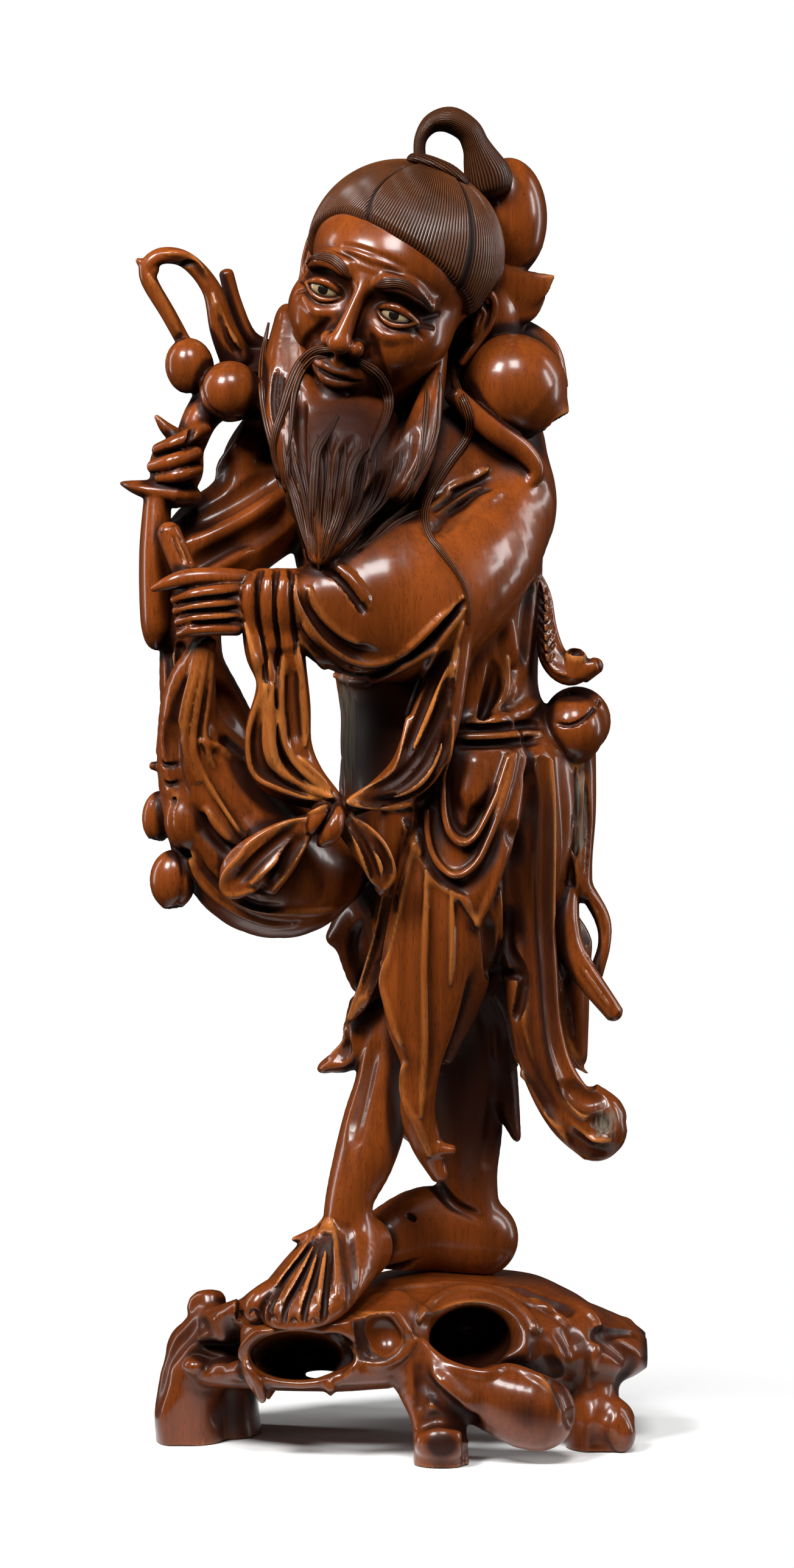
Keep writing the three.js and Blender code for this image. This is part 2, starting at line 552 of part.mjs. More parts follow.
function stand() {
  const plateau = limb([
    [-50, 31, 4, 9, 22],
    [-26, 32, 6, 11, 34],
    [0, 34, 8, 16, 42],
    [25, 35, 8, 17, 42],
    [48, 32, 6, 13, 34],
    [63, 28, 4, 8, 20],
  ], { sides: 10, steps: 5, caps: 2, relief: (angle, t) => 1 + 0.05 * Math.cos(5 * angle + 9 * t) });
  const ledge = limb([
    [-43, 31, -28, 7, 9],
    [-28, 31, -33, 7, 11],
    [-12, 34, -34, 9, 11],
    [5, 36, -28, 9, 10],
  ], { sides: 7, steps: 3 });
  const lumps = [
    ball(-52, 33, -6, [7, 11, 10.5]),
    ball(-59, 24, 12, [5, 5, 6], 0, 6, 4),
    ball(1, 32, -36, [8.6, 9, 9.4]),
    ball(60, 30, -10, [7.5, 12, 10]),
  ];
  const struts = [
    [[-37, 31, -30, 6, 7], [-36, 19, -33, 4.4, 5], [-35.4, 12, -34, 1.4, 2]],
    [[-16, 22, -37, 4, 4], [-15.5, 16, -38, 3, 3], [-14.5, 11.6, -38, 1.2, 1.4]],
    [[-36, 20, -33, 3.4, 3.4], [-25, 17.2, -37, 2.2, 3], [-14, 18, -38, 2.6, 3], [-2, 21, -38, 5.4, 6],
      [9, 24, -34, 7, 7]],
    [[64, 33, 10, 4, 5], [74.4, 34.4, 12, 2.2, 3]],
    [[66, 28, 8, 4.4, 5], [74.4, 29.6, 8, 3, 4]],
  ].map((stations) => limb(stations, { sides: 6, steps: 2 }));
  const hollow = ball(2, -4, 2, [42, 36, 26], 0, 10, 7);
  const arch = ball(-12, 0, -40, [21, 16, 15], 0, 8, 6);
  const drilled = limb([
    [-17, 25, -56, 8, 6],
    [-17, 25, -34, 8.6, 6.6],
    [-18, 21.5, 0, 6, 4],
    [-18, 20.5, 50, 5, 3.4],
  ], { steps: 2, facing: up });
  const dish = ball(0.6, 33, -45, [5.6, 6, 6.8]);
  const cave = ball(29, 33, -38, [14.6, 20, 10.4], 0, 8, 6);
  const carved = joined([plateau, ledge, lumps, struts]).subtract(joined([hollow, arch, drilled, dish]));
  const feet = [
    [[-54, 27, -2, 9, 12], [-57, 12, -2, 10.4, 12], [-57, -10, -1, 10.6, 12]],
    [[-44, 28, 10, 9, 16], [-46, 12, 12, 9, 15], [-45, -10, 12, 10, 15]],
    [[14, 32, -26, 12, 10], [17, 16, -36, 10, 9], [18.4, 2, -41, 9, 7.4], [18.4, -14, -43, 9, 7]],
    [[60, 32, -4, 10, 14], [66, 16, -10, 9.4, 12], [66.6, 2, -14, 10, 10], [66.6, -12, -15, 10, 10]],
    [[36, 32, 30, 11, 12], [42, 12, 36, 9.4, 10], [44, -12, 38, 9.6, 9.4]],
  ].map((stations) => limb(stations, { sides: 7, steps: 2 }));
  const cutRoot = limb([
    [4, 30, -28, 7, 8],
    [20, 21, -34, 11, 9],
    [36, 12, -37, 12, 9],
    [52, 7.6, -36, 10, 9],
  ], { sides: 8, steps: 3, round: 0.08 });
  const whole = joined([carved, feet, cutRoot]).subtract(cave);
  const underground = block(new THREE.Vector3(0, 0, 0), up, [400, 400], -1);
  return whole.subtract(underground).subtract(seatCut(frontSole)).subtract(seatCut(rearSole));
}

function mesh(name, form, color, roughness) {
  const { numProp, vertProperties, triVerts } = form.getMesh();
  const geometry = new THREE.BufferGeometry();
  const places = new Float32Array((vertProperties.length / numProp) * 3);
  for (let i = 0; i < places.length / 3; i += 1) {
    places.set(vertProperties.subarray(i * numProp, i * numProp + 3), i * 3);
  }
  geometry.setAttribute('position', new THREE.BufferAttribute(places, 3));
  geometry.setIndex(new THREE.BufferAttribute(triVerts, 1));
  const made = new THREE.Mesh(geometry, new THREE.MeshStandardMaterial({ color, roughness, metalness: 0 }));
  made.name = name;
  return made;
}

const scoop = limb([[31.5, 219, -29, 3, 4], [34.6, 226, -30, 3.6, 5.6], [36.6, 234, -29, 2.6, 4]]);
const sockets = [-1, 1].map((side) => eyeInlay(side, joinGap));
const carved = [torso(), leftArm(), rightArm(), branch(), shoulderPeaches(), head(), beard(), skirts(),
  sash(), sack(), waistPeach(), legs()];
const figure = joined(carved).subtract(joined([scoop, sockets]));

const carving = new THREE.Group();
carving.add(mesh('figure', figure, 0x6b3415, 0.35));
carving.add(mesh('root_base', stand(), 0x6b3415, 0.35));
carving.add(mesh('eye_left', eyeInlay(1), 0xb9a98c, 0.4));
carving.add(mesh('eye_right', eyeInlay(-1), 0xb9a98c, 0.4));

export default carving;
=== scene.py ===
"""A carved hardwood figure of an old man walking with a branch of peaches and a sack, on a stand carved as a root.

Every form is worked out in millimetres in the row frame: x to the right, y to the back, z up.
"""
import time
from math import ceil, cos, pi, radians, sin

import bpy
import numpy as np
import openvdb as vdb
from mathutils import Matrix, Vector
from numpy.lib.stride_tricks import sliding_window_view as sliding


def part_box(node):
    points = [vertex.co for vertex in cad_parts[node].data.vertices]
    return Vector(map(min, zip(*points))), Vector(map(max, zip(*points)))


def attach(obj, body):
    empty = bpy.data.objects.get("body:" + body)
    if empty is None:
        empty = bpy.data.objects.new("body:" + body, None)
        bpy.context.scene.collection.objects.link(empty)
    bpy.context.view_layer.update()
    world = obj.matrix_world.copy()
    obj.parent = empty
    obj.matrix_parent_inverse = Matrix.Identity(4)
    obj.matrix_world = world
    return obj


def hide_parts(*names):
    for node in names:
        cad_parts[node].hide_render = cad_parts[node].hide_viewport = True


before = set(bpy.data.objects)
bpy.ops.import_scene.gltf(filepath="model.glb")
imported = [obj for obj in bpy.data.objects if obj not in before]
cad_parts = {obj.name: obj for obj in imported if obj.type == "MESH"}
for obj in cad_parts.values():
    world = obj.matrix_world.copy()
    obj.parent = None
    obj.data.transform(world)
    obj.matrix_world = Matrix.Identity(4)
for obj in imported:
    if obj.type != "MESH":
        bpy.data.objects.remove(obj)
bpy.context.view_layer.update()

# The camera
# It stands 1.8 m in front of the carving at about the height of the chin, and looks a few degrees down.
MM = 0.001
EYE = np.array([4.8, -1800.0, 326.0])
LOOK_DOWN = 4.064
camera_data = bpy.data.cameras.new("camera")
camera_data.lens = 138.3
camera_data.sensor_width = 36
camera = bpy.data.objects.new("camera", camera_data)
camera.location = EYE * MM
camera.rotation_euler = (radians(90 - LOOK_DOWN), 0, 0)
bpy.context.scene.collection.objects.link(camera)
bpy.context.scene.camera = camera


def seen(x, z, y):
    """A place read as seen from the front: the point at depth y on the sight line that crosses y = 0 at (x, z)."""
    x, z, y = np.broadcast_arrays(x, z, y)
    flat = np.stack([x, np.zeros(x.shape), z], -1)
    return EYE + (flat - EYE) * (1 + y / -EYE[1])[..., None]


# The floor and the light
# A pale floor, soft boxes on both sides and high in front, two narrow ones behind, and a white surround.
def plain(name, colour, roughness):
    """One even finish, for the floor."""
    material = bpy.data.materials.new(name)
    material.use_nodes = True
    shader = material.node_tree.nodes["Principled BSDF"]
    shader.inputs["Base Color"].default_value = (*colour, 1)
    shader.inputs["Roughness"].default_value = roughness
    return material


def soft_box(name, place, size, power, aim=(0, 0, 0.2)):
    """A square light of that size in metres, turned to face the carving."""
    light = bpy.data.lights.new(name, "AREA")
    light.shape = "RECTANGLE"
    light.size, light.size_y = size
    light.energy = power
    lamp = bpy.data.objects.new(name, light)
    lamp.location = place
    lamp.rotation_euler = Vector(np.array(place) - aim).to_track_quat("Z", "Y").to_euler()
    bpy.context.scene.collection.objects.link(lamp)
    return lamp


REACH = 1.6
floor_mesh = bpy.data.meshes.new("floor")
floor_mesh.from_pydata([(-REACH, -REACH, 0), (REACH, -REACH, 0), (REACH, REACH, 0), (-REACH, REACH, 0)], [],
                       [(0, 1, 2, 3)])
floor = bpy.data.objects.new("floor", floor_mesh)
floor_finish = plain("pale_floor", (0.9, 0.905, 0.9), 0.5)
floor_mesh.materials.append(floor_finish)
bpy.context.scene.collection.objects.link(floor)
floor_nodes = floor_finish.node_tree.nodes
floor_links = floor_finish.node_tree.links
spot = floor_nodes.new("ShaderNodeTexCoord")
apart = floor_nodes.new("ShaderNodeVectorMath")
apart.operation = "LENGTH"
fade = floor_nodes.new("ShaderNodeMapRange")
fade.interpolation_type = "SMOOTHSTEP"
fade.inputs["From Min"].default_value = 0.18
fade.inputs["From Max"].default_value = 0.06
floor_links.new(spot.outputs["Object"], apart.inputs[0])
floor_links.new(apart.outputs["Value"], fade.inputs["Value"])
floor_links.new(fade.outputs[0], floor_nodes["Principled BSDF"].inputs["Alpha"])

soft_box("left_front", (-0.75, -0.9, 1.3), (0.5, 0.5), 42)
soft_box("high_front", (0.1, -1.1, 1.6), (0.5, 0.5), 28)
soft_box("right_front", (1.45, -0.25, 0.75), (0.2, 0.6), 9)
soft_box("left_rim", (-1.2, 0.3, 0.55), (0.16, 1.2), 7)
soft_box("right_rim", (1.2, 0.3, 0.55), (0.16, 1.2), 7)

world = bpy.data.worlds.new("surround")
bpy.context.scene.world = world
world.use_nodes = True
surround = world.node_tree.nodes
seen_white = surround.new("ShaderNodeBackground")
seen_white.inputs["Color"].default_value = (1, 1, 1, 1)
seen_white.inputs["Strength"].default_value = 1.0
dimmer = surround["Background"]
dimmer.inputs["Color"].default_value = (1, 1, 1, 1)
dimmer.inputs["Strength"].default_value = 0.025
path = surround.new("ShaderNodeLightPath")
choice = surround.new("ShaderNodeMixShader")
links = world.node_tree.links
links.new(path.outputs["Is Camera Ray"], choice.inputs[0])
links.new(dimmer.outputs[0], choice.inputs[1])
links.new(seen_white.outputs[0], choice.inputs[2])
links.new(choice.outputs[0], surround["World Output"].inputs["Surface"])
bpy.context.scene.view_settings.view_transform = "Standard"

# The trunk
# The figure is one block of hardwood. The trunk under the robe comes first, and every other form grows out of it.
FAR = 9.0
BACK = np.array([0.0, 1.0, 0.0])
UP = np.array([0.0, 0.0, 1.0])


def along(stations, pace):
    """A Catmull-Rom curve through the stations, a row for about every pace mm: the cubic of each four neighbours."""
    s = np.asarray(stations, float)
    ends = np.vstack([2 * s[0] - s[1], s, 2 * s[-1] - s[-2]])
    rows = []
    for p0, p1, p2, p3 in zip(ends, ends[1:], ends[2:], ends[3:]):
        count = max(2, ceil(np.linalg.norm((p2 - p1)[:3]) / pace))
        t = (np.arange(count) / count)[:, None]
        rows.append(0.5 * (2 * p1 + (p2 - p0) * t + (2 * p0 - 5 * p1 + 4 * p2 - p3) * t ** 2
                           + (3 * p1 - p0 - 3 * p2 + p3) * t ** 3))
    return np.vstack([*rows, s[-1:]])


def rays(line, view):
    """Where a line drawn in a view starts in the air, and which way it looks: the first two columns are the view's."""
    a, b = line[:, 0], line[:, 1]
    full = np.full(len(a), 1.0)
    if view == "front":
        start = seen(a, b, -66 * full)
        ahead = seen(a, b, 0 * full) - start
        return start, ahead / np.linalg.norm(ahead, axis=1, keepdims=True)
    start, ahead = {
        "back": ((a, 66 * full, b), (0, -1, 0)),
        "left": ((92 * full, a, b), (-1, 0, 0)),
        "right": ((-92 * full, a, b), (1, 0, 0)),
        "top": ((a, b, 412 * full), (0, 0, -1)),
        "local": ((a, -44 * full, b), (0, 1, 0)),
    }[view]
    return np.stack(start, 1), np.tile(np.array(ahead, float), (len(a), 1))


class Clay:
    """A block to carve: a grid of distances to its surface in mm, below zero in the wood and above it in the air."""

    def __init__(self, low, high, step):
        self.low = np.array(low, float)
        self.step = step
        counts = np.ceil((np.array(high) - self.low) / step).astype(int)
        self.field = np.full(counts, FAR, np.float32)

    def window(self, low, high):
        """The part of the grid from low to high: its slices, and its x, y and z as arrays that broadcast."""
        shape = np.array(self.field.shape)
        first = np.clip(np.floor((low - self.low) / self.step).astype(int), 0, shape)
        last = np.clip(np.ceil((high - self.low) / self.step).astype(int) + 1, first, shape)
        axes = [(self.low[k] + self.step * np.arange(first[k], last[k])).astype(np.float32) for k in range(3)]
        return tuple(slice(a, b) for a, b in zip(first, last)), np.ix_(*axes)

    def merge(self, where, near, soft, cut):
        """Adds a form or cuts it away: the smaller of two distances, rounded over soft mm where they are alike."""
        field = -self.field[where] if cut else self.field[where]
        share = np.clip(0.5 + 0.5 * (field - near) / soft, 0, 1)
        met = field + (near - field) * share - soft * share * (1 - share)
        self.field[where] = -met if cut else met

    def gather(self, points, reach, soft, cut, distance):
        """The least distance to the stretches between points, each worked out in its own window, then merged."""
        margin = soft + 2.5 * self.step
        whole, _ = self.window(points.min(0) - reach.max() - margin, points.max(0) + reach.max() + margin)
        corner = [s.start for s in whole]
        near = np.full(self.field[whole].shape, FAR, np.float32)
        for i in range(len(points) - 1):
            wide = max(reach[i], reach[i + 1]) + margin
            low = np.minimum(points[i], points[i + 1]) - wide
            high = np.maximum(points[i], points[i + 1]) + wide
            where, grid = self.window(low, high)
            part = tuple(slice(s.start - c, s.stop - c) for s, c in zip(where, corner))
            if near[part].size:
                np.minimum(near[part], distance(i, grid), out=near[part])
        self.merge(whole, near, soft, cut)

    def tube(self, points, radii, soft=1.0, cut=False):
        """A round stroke: the distance to each stretch of a line, less a radius that changes evenly along it."""
        points = np.asarray(points, float)
        radii = np.asarray(radii, float)

        def distance(i, grid):
            span = points[i + 1] - points[i]
            square = float(span @ span) + 1e-9
            d = [axis - np.float32(p) for axis, p in zip(grid, points[i])]
            t = np.clip((d[0] * np.float32(span[0]) + d[1] * np.float32(span[1]) + d[2] * np.float32(span[2]))
                        / np.float32(square), 0, 1)
            apart = sum((axis - t * np.float32(s)) ** 2 for axis, s in zip(d, span))
            return np.sqrt(apart) - (np.float32(radii[i]) + t * np.float32(radii[i + 1] - radii[i]))

        self.gather(points, radii, soft, cut, distance)

    def limb(self, stations, soft=1.5, cut=False, place=seen, facing=BACK, end=0.7):
        """An oval stroke through stations [x, z, y, half width, half depth], its depth measured towards facing.

        With k0 the length of the offset in half axes and k1 that of the offset in their squares, the distance is
        k0 (k0 - 1) / k1. Past a stretch's end the oval is closed by a third half axis.
        """
        s = np.asarray(stations, float)
        s = np.hstack([place(s[:, 0], s[:, 1], s[:, 2]), s[:, 3:]])
        rows = along(s, float(np.clip(0.35 * np.median(s[:, 3:].min(1)), 1.2, 5)))
        points, girth = rows[:, :3], np.maximum(rows[:, 3:], 0.3)
        last = len(points) - 2

        def distance(i, grid):
            span = points[i + 1] - points[i]
            length = float(np.linalg.norm(span)) + 1e-9
            ahead = span / length
            across = np.cross(ahead, facing)
            across /= np.linalg.norm(across) + 1e-9
            deep = np.cross(across, ahead)
            d = [axis - np.float32(p) for axis, p in zip(grid, points[i])]

            def part(direction):
                return sum(axis * np.float32(c) for axis, c in zip(d, direction))

            way = part(ahead)
            t = np.clip(way / np.float32(length), 0, 1)
            wide = np.float32(girth[i, 0]) + t * np.float32(girth[i + 1, 0] - girth[i, 0])
            thick = np.float32(girth[i, 1]) + t * np.float32(girth[i + 1, 1] - girth[i, 1])
            past = way - t * np.float32(length)
            cap = np.maximum(wide, thick)
            closed = np.float32(end) * np.minimum(wide, thick)
            if i == 0:
                cap = np.where(past < 0, closed, cap)
            if i == last:
                cap = np.where(past > 0, closed, cap)
            u, v, w = part(across) / wide, part(deep) / thick, past / cap
            k0 = np.sqrt(u * u + v * v + w * w)
            k1 = np.sqrt((u / wide) ** 2 + (v / thick) ** 2 + (w / cap) ** 2)
            return k0 * (k0 - 1) / (k1 + np.float32(1e-5))

        self.gather(points, girth.max(1), soft, cut, distance)

    def ball(self, x, z, y, half, lean=0, soft=1.5, cut=False, place=seen):
        """An ellipsoid of half sizes [across, deep, high], leaned in the front plane by an angle in degrees."""
        centre = place(np.array(float(x)), np.array(float(z)), np.array(float(y)))
        half = np.array(half, float)
        reach = half.max() + soft + 2.5 * self.step
        where, grid = self.window(centre - reach, centre + reach)
        dx, dy, dz = (axis - np.float32(c) for axis, c in zip(grid, centre))
        c, s = np.float32(cos(radians(lean))), np.float32(sin(radians(lean)))
        u, v, w = (dx * c - dz * s) / half[0], dy / half[1], (dx * s + dz * c) / half[2]
        k0 = np.sqrt(u * u + v * v + w * w)
        k1 = np.sqrt((u / half[0]) ** 2 + (v / half[1]) ** 2 + (w / half[2]) ** 2)
        self.merge(where, (k0 * (k0 - 1) / (k1 + 1e-5)).astype(np.float32), soft, cut)

    def planed(self, place, normal, low, high):
        """Cuts the wood between two corners flat: it keeps what lies behind a plane whose normal points away."""
        normal = np.array(normal, float) / np.linalg.norm(normal)
        where, grid = self.window(np.array(low, float), np.array(high, float))
        above = sum((axis - np.float32(p)) * np.float32(n) for axis, p, n in zip(grid, place, normal))
        self.field[where] = np.maximum(self.field[where], above)

    def sample(self, places):
        """The distances at any places: the weighted mean of the eight grid points around each."""
        at = (places - self.low) / self.step
        first = np.clip(np.floor(at).astype(int), 0, np.array(self.field.shape) - 2)
        share = np.clip(at - first, 0, 1)
        total = 0
        for corner in np.ndindex(2, 2, 2):
            weight = np.prod(np.where(corner, share, 1 - share), -1)
            i = first + corner
            total = total + weight * self.field[i[..., 0], i[..., 1], i[..., 2]]
        return total

    def met(self, line, sink, view):
        """A drawn line carried onto the surface that the view shows, then sunk by sink mm along its rays.

        Each place is the median of three rays side by side, and then the value of a parabola fitted to seven places.
        Where the depth jumps by over 4 mm the line parts: the second result holds the places of each run.
        """
        rows = along(line, 1.5)
        ahead = np.gradient(rows, axis=0)
        beside = np.stack([ahead[:, 1], -ahead[:, 0]], 1) / (np.linalg.norm(ahead, axis=1, keepdims=True) + 1e-9)
        found = []
        for shift in (0, -0.7, 0.7):
            start, ahead = rays(rows + shift * beside, view)
            travel = np.arange(0, 130, 0.7)
            values = self.sample(start[:, None] + travel[:, None] * ahead[:, None])
            inside = values < 0
            first = np.maximum(inside.argmax(1), 1)
            i = np.arange(len(rows))
            before, after = values[i, first - 1], values[i, first]
            reach = travel[first - 1] + 0.7 * before / np.maximum(before - after, 1e-6)
            good = inside.any(1)
            if good.any():
                found.append(np.interp(i, i[good], reach[good]))
        reach = np.median(found, axis=0)
        reach = np.median(sliding(np.pad(reach, 1, mode="edge"), 3), axis=1)
        runs = np.split(np.arange(len(rows)), np.flatnonzero(np.abs(np.diff(reach)) > 4) + 1)
        for run in runs:
            padded = np.pad(reach[run], 3, mode="reflect", reflect_type="odd")
            reach[run] = sliding(padded, 7) @ (np.array([-2, 3, 6, 7, 6, 3, -2]) / 21)
        start, ahead = rays(rows, view)
        return start + ahead * (reach + sink)[:, None], [run for run in runs if len(run) > 1]

    def folds(self, radius, height, *lines, view="front", soft=1.6, ends=0.25):
        """Raised folds along drawn lines: round strokes sunk in the surface, thinner towards both ends."""
        for line in lines:
            points, runs = self.met(line, radius - height, view)
            t = np.linspace(0, 1, len(points))
            for run in runs:
                self.tube(points[run], radius * np.minimum(1, ends + 5 * np.minimum(t, 1 - t))[run], soft)

    def cuts(self, radius, depth, *lines, view="front", soft=1.0, ends=0.15):
        """Gouged cuts along drawn lines: round strokes taken away, shallower towards both ends."""
        for line in lines:
            t = np.linspace(0, 1, len(along(line, 1.5)))
            swell = np.minimum(1, ends + 5 * np.minimum(t, 1 - t))
            points, runs = self.met(line, depth * swell - radius, view)
            for run in runs:
                self.tube(points[run], np.full(len(run), radius), soft, cut=True)

    def surface(self):
        """The zero surface as corners in mm and triangles."""
        grid = vdb.FloatGrid(background=FAR)
        grid.copyFromArray(self.field)
        corners, triangles, quads = grid.convertToPolygons()
        corners = self.low + corners * self.step
        return corners, np.vstack([triangles, quads[:, [0, 1, 2]], quads[:, [0, 2, 3]]]).astype(np.int64)


figure_step = 0.5
low, high = (np.array(corner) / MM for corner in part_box("figure"))
body = Clay(low - 4, high + 4, figure_step)

body.limb([[18, 299, 12, 32, 25], [11, 277, 10, 38, 31], [15, 253, 6, 33, 29], [17, 228, 3, 30, 26],
           [19, 209, 3, 30, 26]], soft=3)
body.limb([[6, 296, 8, 26, 22], [2, 312, 4, 19, 19], [0, 326, -2, 17, 18]], soft=7)

# The robe's skirts
# Carved with the trunk: a fluted skirt to the shins, an apron and panels that fall in front, and a train at one side.
body.limb([[19, 213, 3, 31, 27], [22, 192, 2, 33, 28], [23, 172, 2, 32, 28], [22, 152, 4, 27, 24],
           [20, 134, 7, 20, 19], [18, 122, 9, 14, 15]], soft=2.5)
body.limb([[18, 150, 16, 24, 13], [18, 122, 19, 19, 12], [17, 99, 20, 15, 6]], soft=3, end=0.3)
body.limb([[50, 208, 2, 8, 15], [53, 190, 4, 7, 16], [52, 168, 5, 6, 15], [51, 148, 6, 6, 13]], soft=4)
body.limb([[3, 170, 8, 10, 14], [-4, 155, 9, 10, 9], [-6.5, 146, 9, 5.4, 7], [-6.8, 138.5, 9, 2, 5]], soft=3)
body.limb([[-8, 156, 9, 6, 6], [-13.6, 152.4, 9, 2.4, 4]], soft=3)
body.limb([[32, 132, 2, 7, 10], [35, 111, 3, 6, 8], [40.4, 92.6, 2, 1.4, 4]], soft=2)
body.limb([[56, 150, 10, 6, 10], [57.5, 134, 12, 5, 9], [59, 116, 12, 3, 5]], soft=2, end=0.3)
body.limb([[-3, 130, -8, 7, 8], [-8, 118, -7, 4.4, 7], [-15.5, 113.4, -6, 2, 5]], soft=1.5)
body.limb([[4, 168, -18, 5, 6], [0.6, 150, -19, 4, 5], [-3, 138, -19, 3.6, 4.4], [-9.4, 127.6, -17, 1, 3]], soft=1.2)
body.limb([[44, 205, -9, 9, 10], [44, 180, -12, 9.5, 9], [43.5, 160, -14, 8.6, 7.5], [44.5, 144, -16, 8.4, 6.5],
           [46.5, 126, -18, 7.6, 5.6], [50.5, 111, -19, 7.6, 5.2], [57.6, 99, -19, 8.2, 5], [66, 91.4, -19, 8.2, 5]],
          soft=1.6)
body.limb([[63, 102, -17, 6, 5], [68.4, 99.4, -17, 4.4, 6], [69.6, 93, -18, 4.4, 6]], soft=2, end=0.3)
body.limb([[18, 178, -25, 12, 6], [16.5, 160, -28, 13.4, 6], [13, 142, -29, 12.8, 5], [12, 128, -29, 10.4, 4.4],
           [12, 114, -28, 6, 4.2], [11, 100, -26.5, 5.2, 4], [13.5, 90, -25, 4.6, 3.6], [17.6, 80, -23, 2.6, 3]],
          soft=1.2)
body.limb([[26, 168, -23, 10, 7], [26, 152, -22, 9, 7], [24.6, 140, -20, 8, 6], [22, 128, -18, 6, 5], [19, 116, -16, 3, 4]],
          soft=3)
body.limb([[14, 88, -25, 3, 3], [21.6, 87.8, -26, 1.4, 2]], soft=1.6)
body.limb([[26.6, 208, -22, 16.4, 5], [26, 190, -26, 15.6, 5.4], [25, 177, -29, 12.6, 5], [26, 166, -30, 7.6, 4],
           [28.6, 156.4, -30, 1.4, 2]], soft=1.2)
body.cuts(6.0, 1.1, [[17, 200], [16.4, 190], [17.6, 181], [20.6, 176], [24.6, 175], [28.6, 178], [31.6, 184.6], [33.6, 192]],
          soft=1.2)
body.cuts(4.0, 1.3, [[11.4, 190], [12.6, 180], [15.6, 172.6], [20, 168.4], [25, 167.6], [29, 171], [33, 178],
                     [35.4, 186]], soft=1.4)
body.cuts(3.4, 1.5, [[22.6, 200], [22.4, 192], [23.6, 187], [26, 185.6], [28.6, 188], [31, 194]], soft=1)
for lip in ([[19, 206, -28], [18.6, 197, -30.2], [19, 189, -32], [20.8, 183, -33.4], [24.4, 180.2, -34.2], [28, 182, -33.8],
             [31, 187, -32.6], [34.6, 195, -30], [38.2, 206, -26.6]],
            [[14, 190, -30], [14, 184, -31.6], [15.4, 177.4, -33], [18.4, 172.6, -34.2], [21.6, 170.6, -34.8], [25.2, 171.4, -35],
             [29, 175, -34.6], [32, 181, -33.2], [35.6, 190, -30.6], [38.6, 200, -27.4], [40, 207, -25.4]],
            [[28.8, 155.8, -31.4], [31, 160.4, -32.4], [33.6, 167, -32], [36, 176, -30.6], [38.6, 186, -28], [40.8, 196, -25],
             [42.4, 206, -22.4]]):
    body.limb([[*place, 1.05, 1.5] for place in lip], soft=1.8)
body.folds(0.9, 1.4, [[6.4, 187], [9, 181], [12, 174.8], [15, 169.8], [18.4, 166.8], [22, 165], [24.8, 163.2], [26.8, 159.6], [28.8, 155.8]],
           [[10.2, 190], [10.4, 184], [12, 177]], soft=1.8)
body.cuts(1.3, 1.5, [[20.8, 204], [20.4, 196], [21, 189], [22.6, 185], [25.2, 183.4], [28, 185.6], [30.4, 190.4], [33, 197]], soft=0.8)
body.folds(4.4, 1.6, [[28, 206], [27.4, 199], [26, 192.6]], soft=2.4)
body.cuts(1.5, 1.8, [[35.4, 166.6], [39.2, 176.4], [42.4, 187], [44.8, 198]], soft=1.4)
body.folds(0.9, 1.5, [[46.4, 206], [46.9, 190], [46.8, 175], [47, 160], [47.6, 148], [48.6, 138], [48.9, 126], [50.4, 114],
                       [54, 105.6], [58, 100.2], [61.2, 97.6], [64, 98.6], [66.4, 100.6]],
           [[51.2, 205], [51.5, 190], [51.6, 178], [51.4, 165], [51.4, 150]],
           [[35.5, 166], [35.7, 157], [37, 150.4], [39.6, 145.2], [42.4, 141.8]],
           [[53.4, 146], [53.6, 135], [54.6, 125], [57, 117.4], [60, 112.6], [63, 110.4]],
           [[33.6, 133.6], [36.2, 128], [38.2, 119.6], [41, 112.6], [45.4, 107.6]],
           [[49.4, 98.8], [53.6, 94], [58.2, 89], [62.6, 86.4], [66.4, 86]],
           [[50, 112], [53, 103], [57, 96.4], [61.4, 91.8], [65, 90.2], [68.6, 90.4]], soft=1.8)
body.cuts(2.6, 1.8, [[49.2, 204], [49.6, 190], [49.4, 175], [49.4, 160], [50.4, 145], [51.4, 131], [53, 119], [56.6, 110.4],
                     [61, 105]], soft=1.6)
body.cuts(2.9, 2.1, [[44.8, 200], [44.4, 185], [43, 170], [44.6, 155], [45.8, 140], [46.4, 126], [48, 113], [51.4, 103.4],
                     [56, 96.4], [61, 92]],
          [[40.4, 184], [39.8, 170], [40, 155], [41.4, 146.6]], soft=1.8)
body.cuts(3.4, 2.2, [[57, 107], [61.4, 102.6], [66, 103.4]], soft=1.2)
body.cuts(2.4, 1.8, [[64.6, 97], [67.4, 94.4]], [[56.6, 92], [62, 88], [68, 86.4]], soft=1.4)
body.cuts(1.9, 2.7, [[38.4, 160], [37.8, 150], [40.4, 144.4], [43.4, 140.6]], soft=1)
body.cuts(1.5, 2.1, [[34.6, 142.4], [38.6, 141], [42.4, 140.6]], [[43.2, 140], [42, 132.4], [40, 126.4]], soft=1)
body.cuts(2.0, 1.7, [[40.4, 124], [43.4, 113.6], [48, 105.4], [53, 97.4]], soft=1.2)
body.folds(0.9, 1.4, [[9.8, 180], [8.6, 174], [7.2, 168.6], [5.4, 161], [3.2, 152], [1.4, 144], [0.2, 138.4], [1.8, 131.4],
                      [4.2, 123.8], [6.8, 119.2], [9.4, 116]],
           [[21, 166], [21, 150], [20.6, 138]],
           [[9.4, 116], [6.8, 112], [6.4, 106], [8, 100], [10.4, 96], [12.4, 91], [14.4, 86]], soft=1.8)
body.cuts(3.0, 1.3, [[11, 174], [9.6, 160], [8.4, 148], [8, 136], [8.6, 124], [10, 113], [9.8, 104]],
          [[17, 168], [17.2, 150], [17.2, 135], [16.4, 120], [14.6, 107]], soft=2)
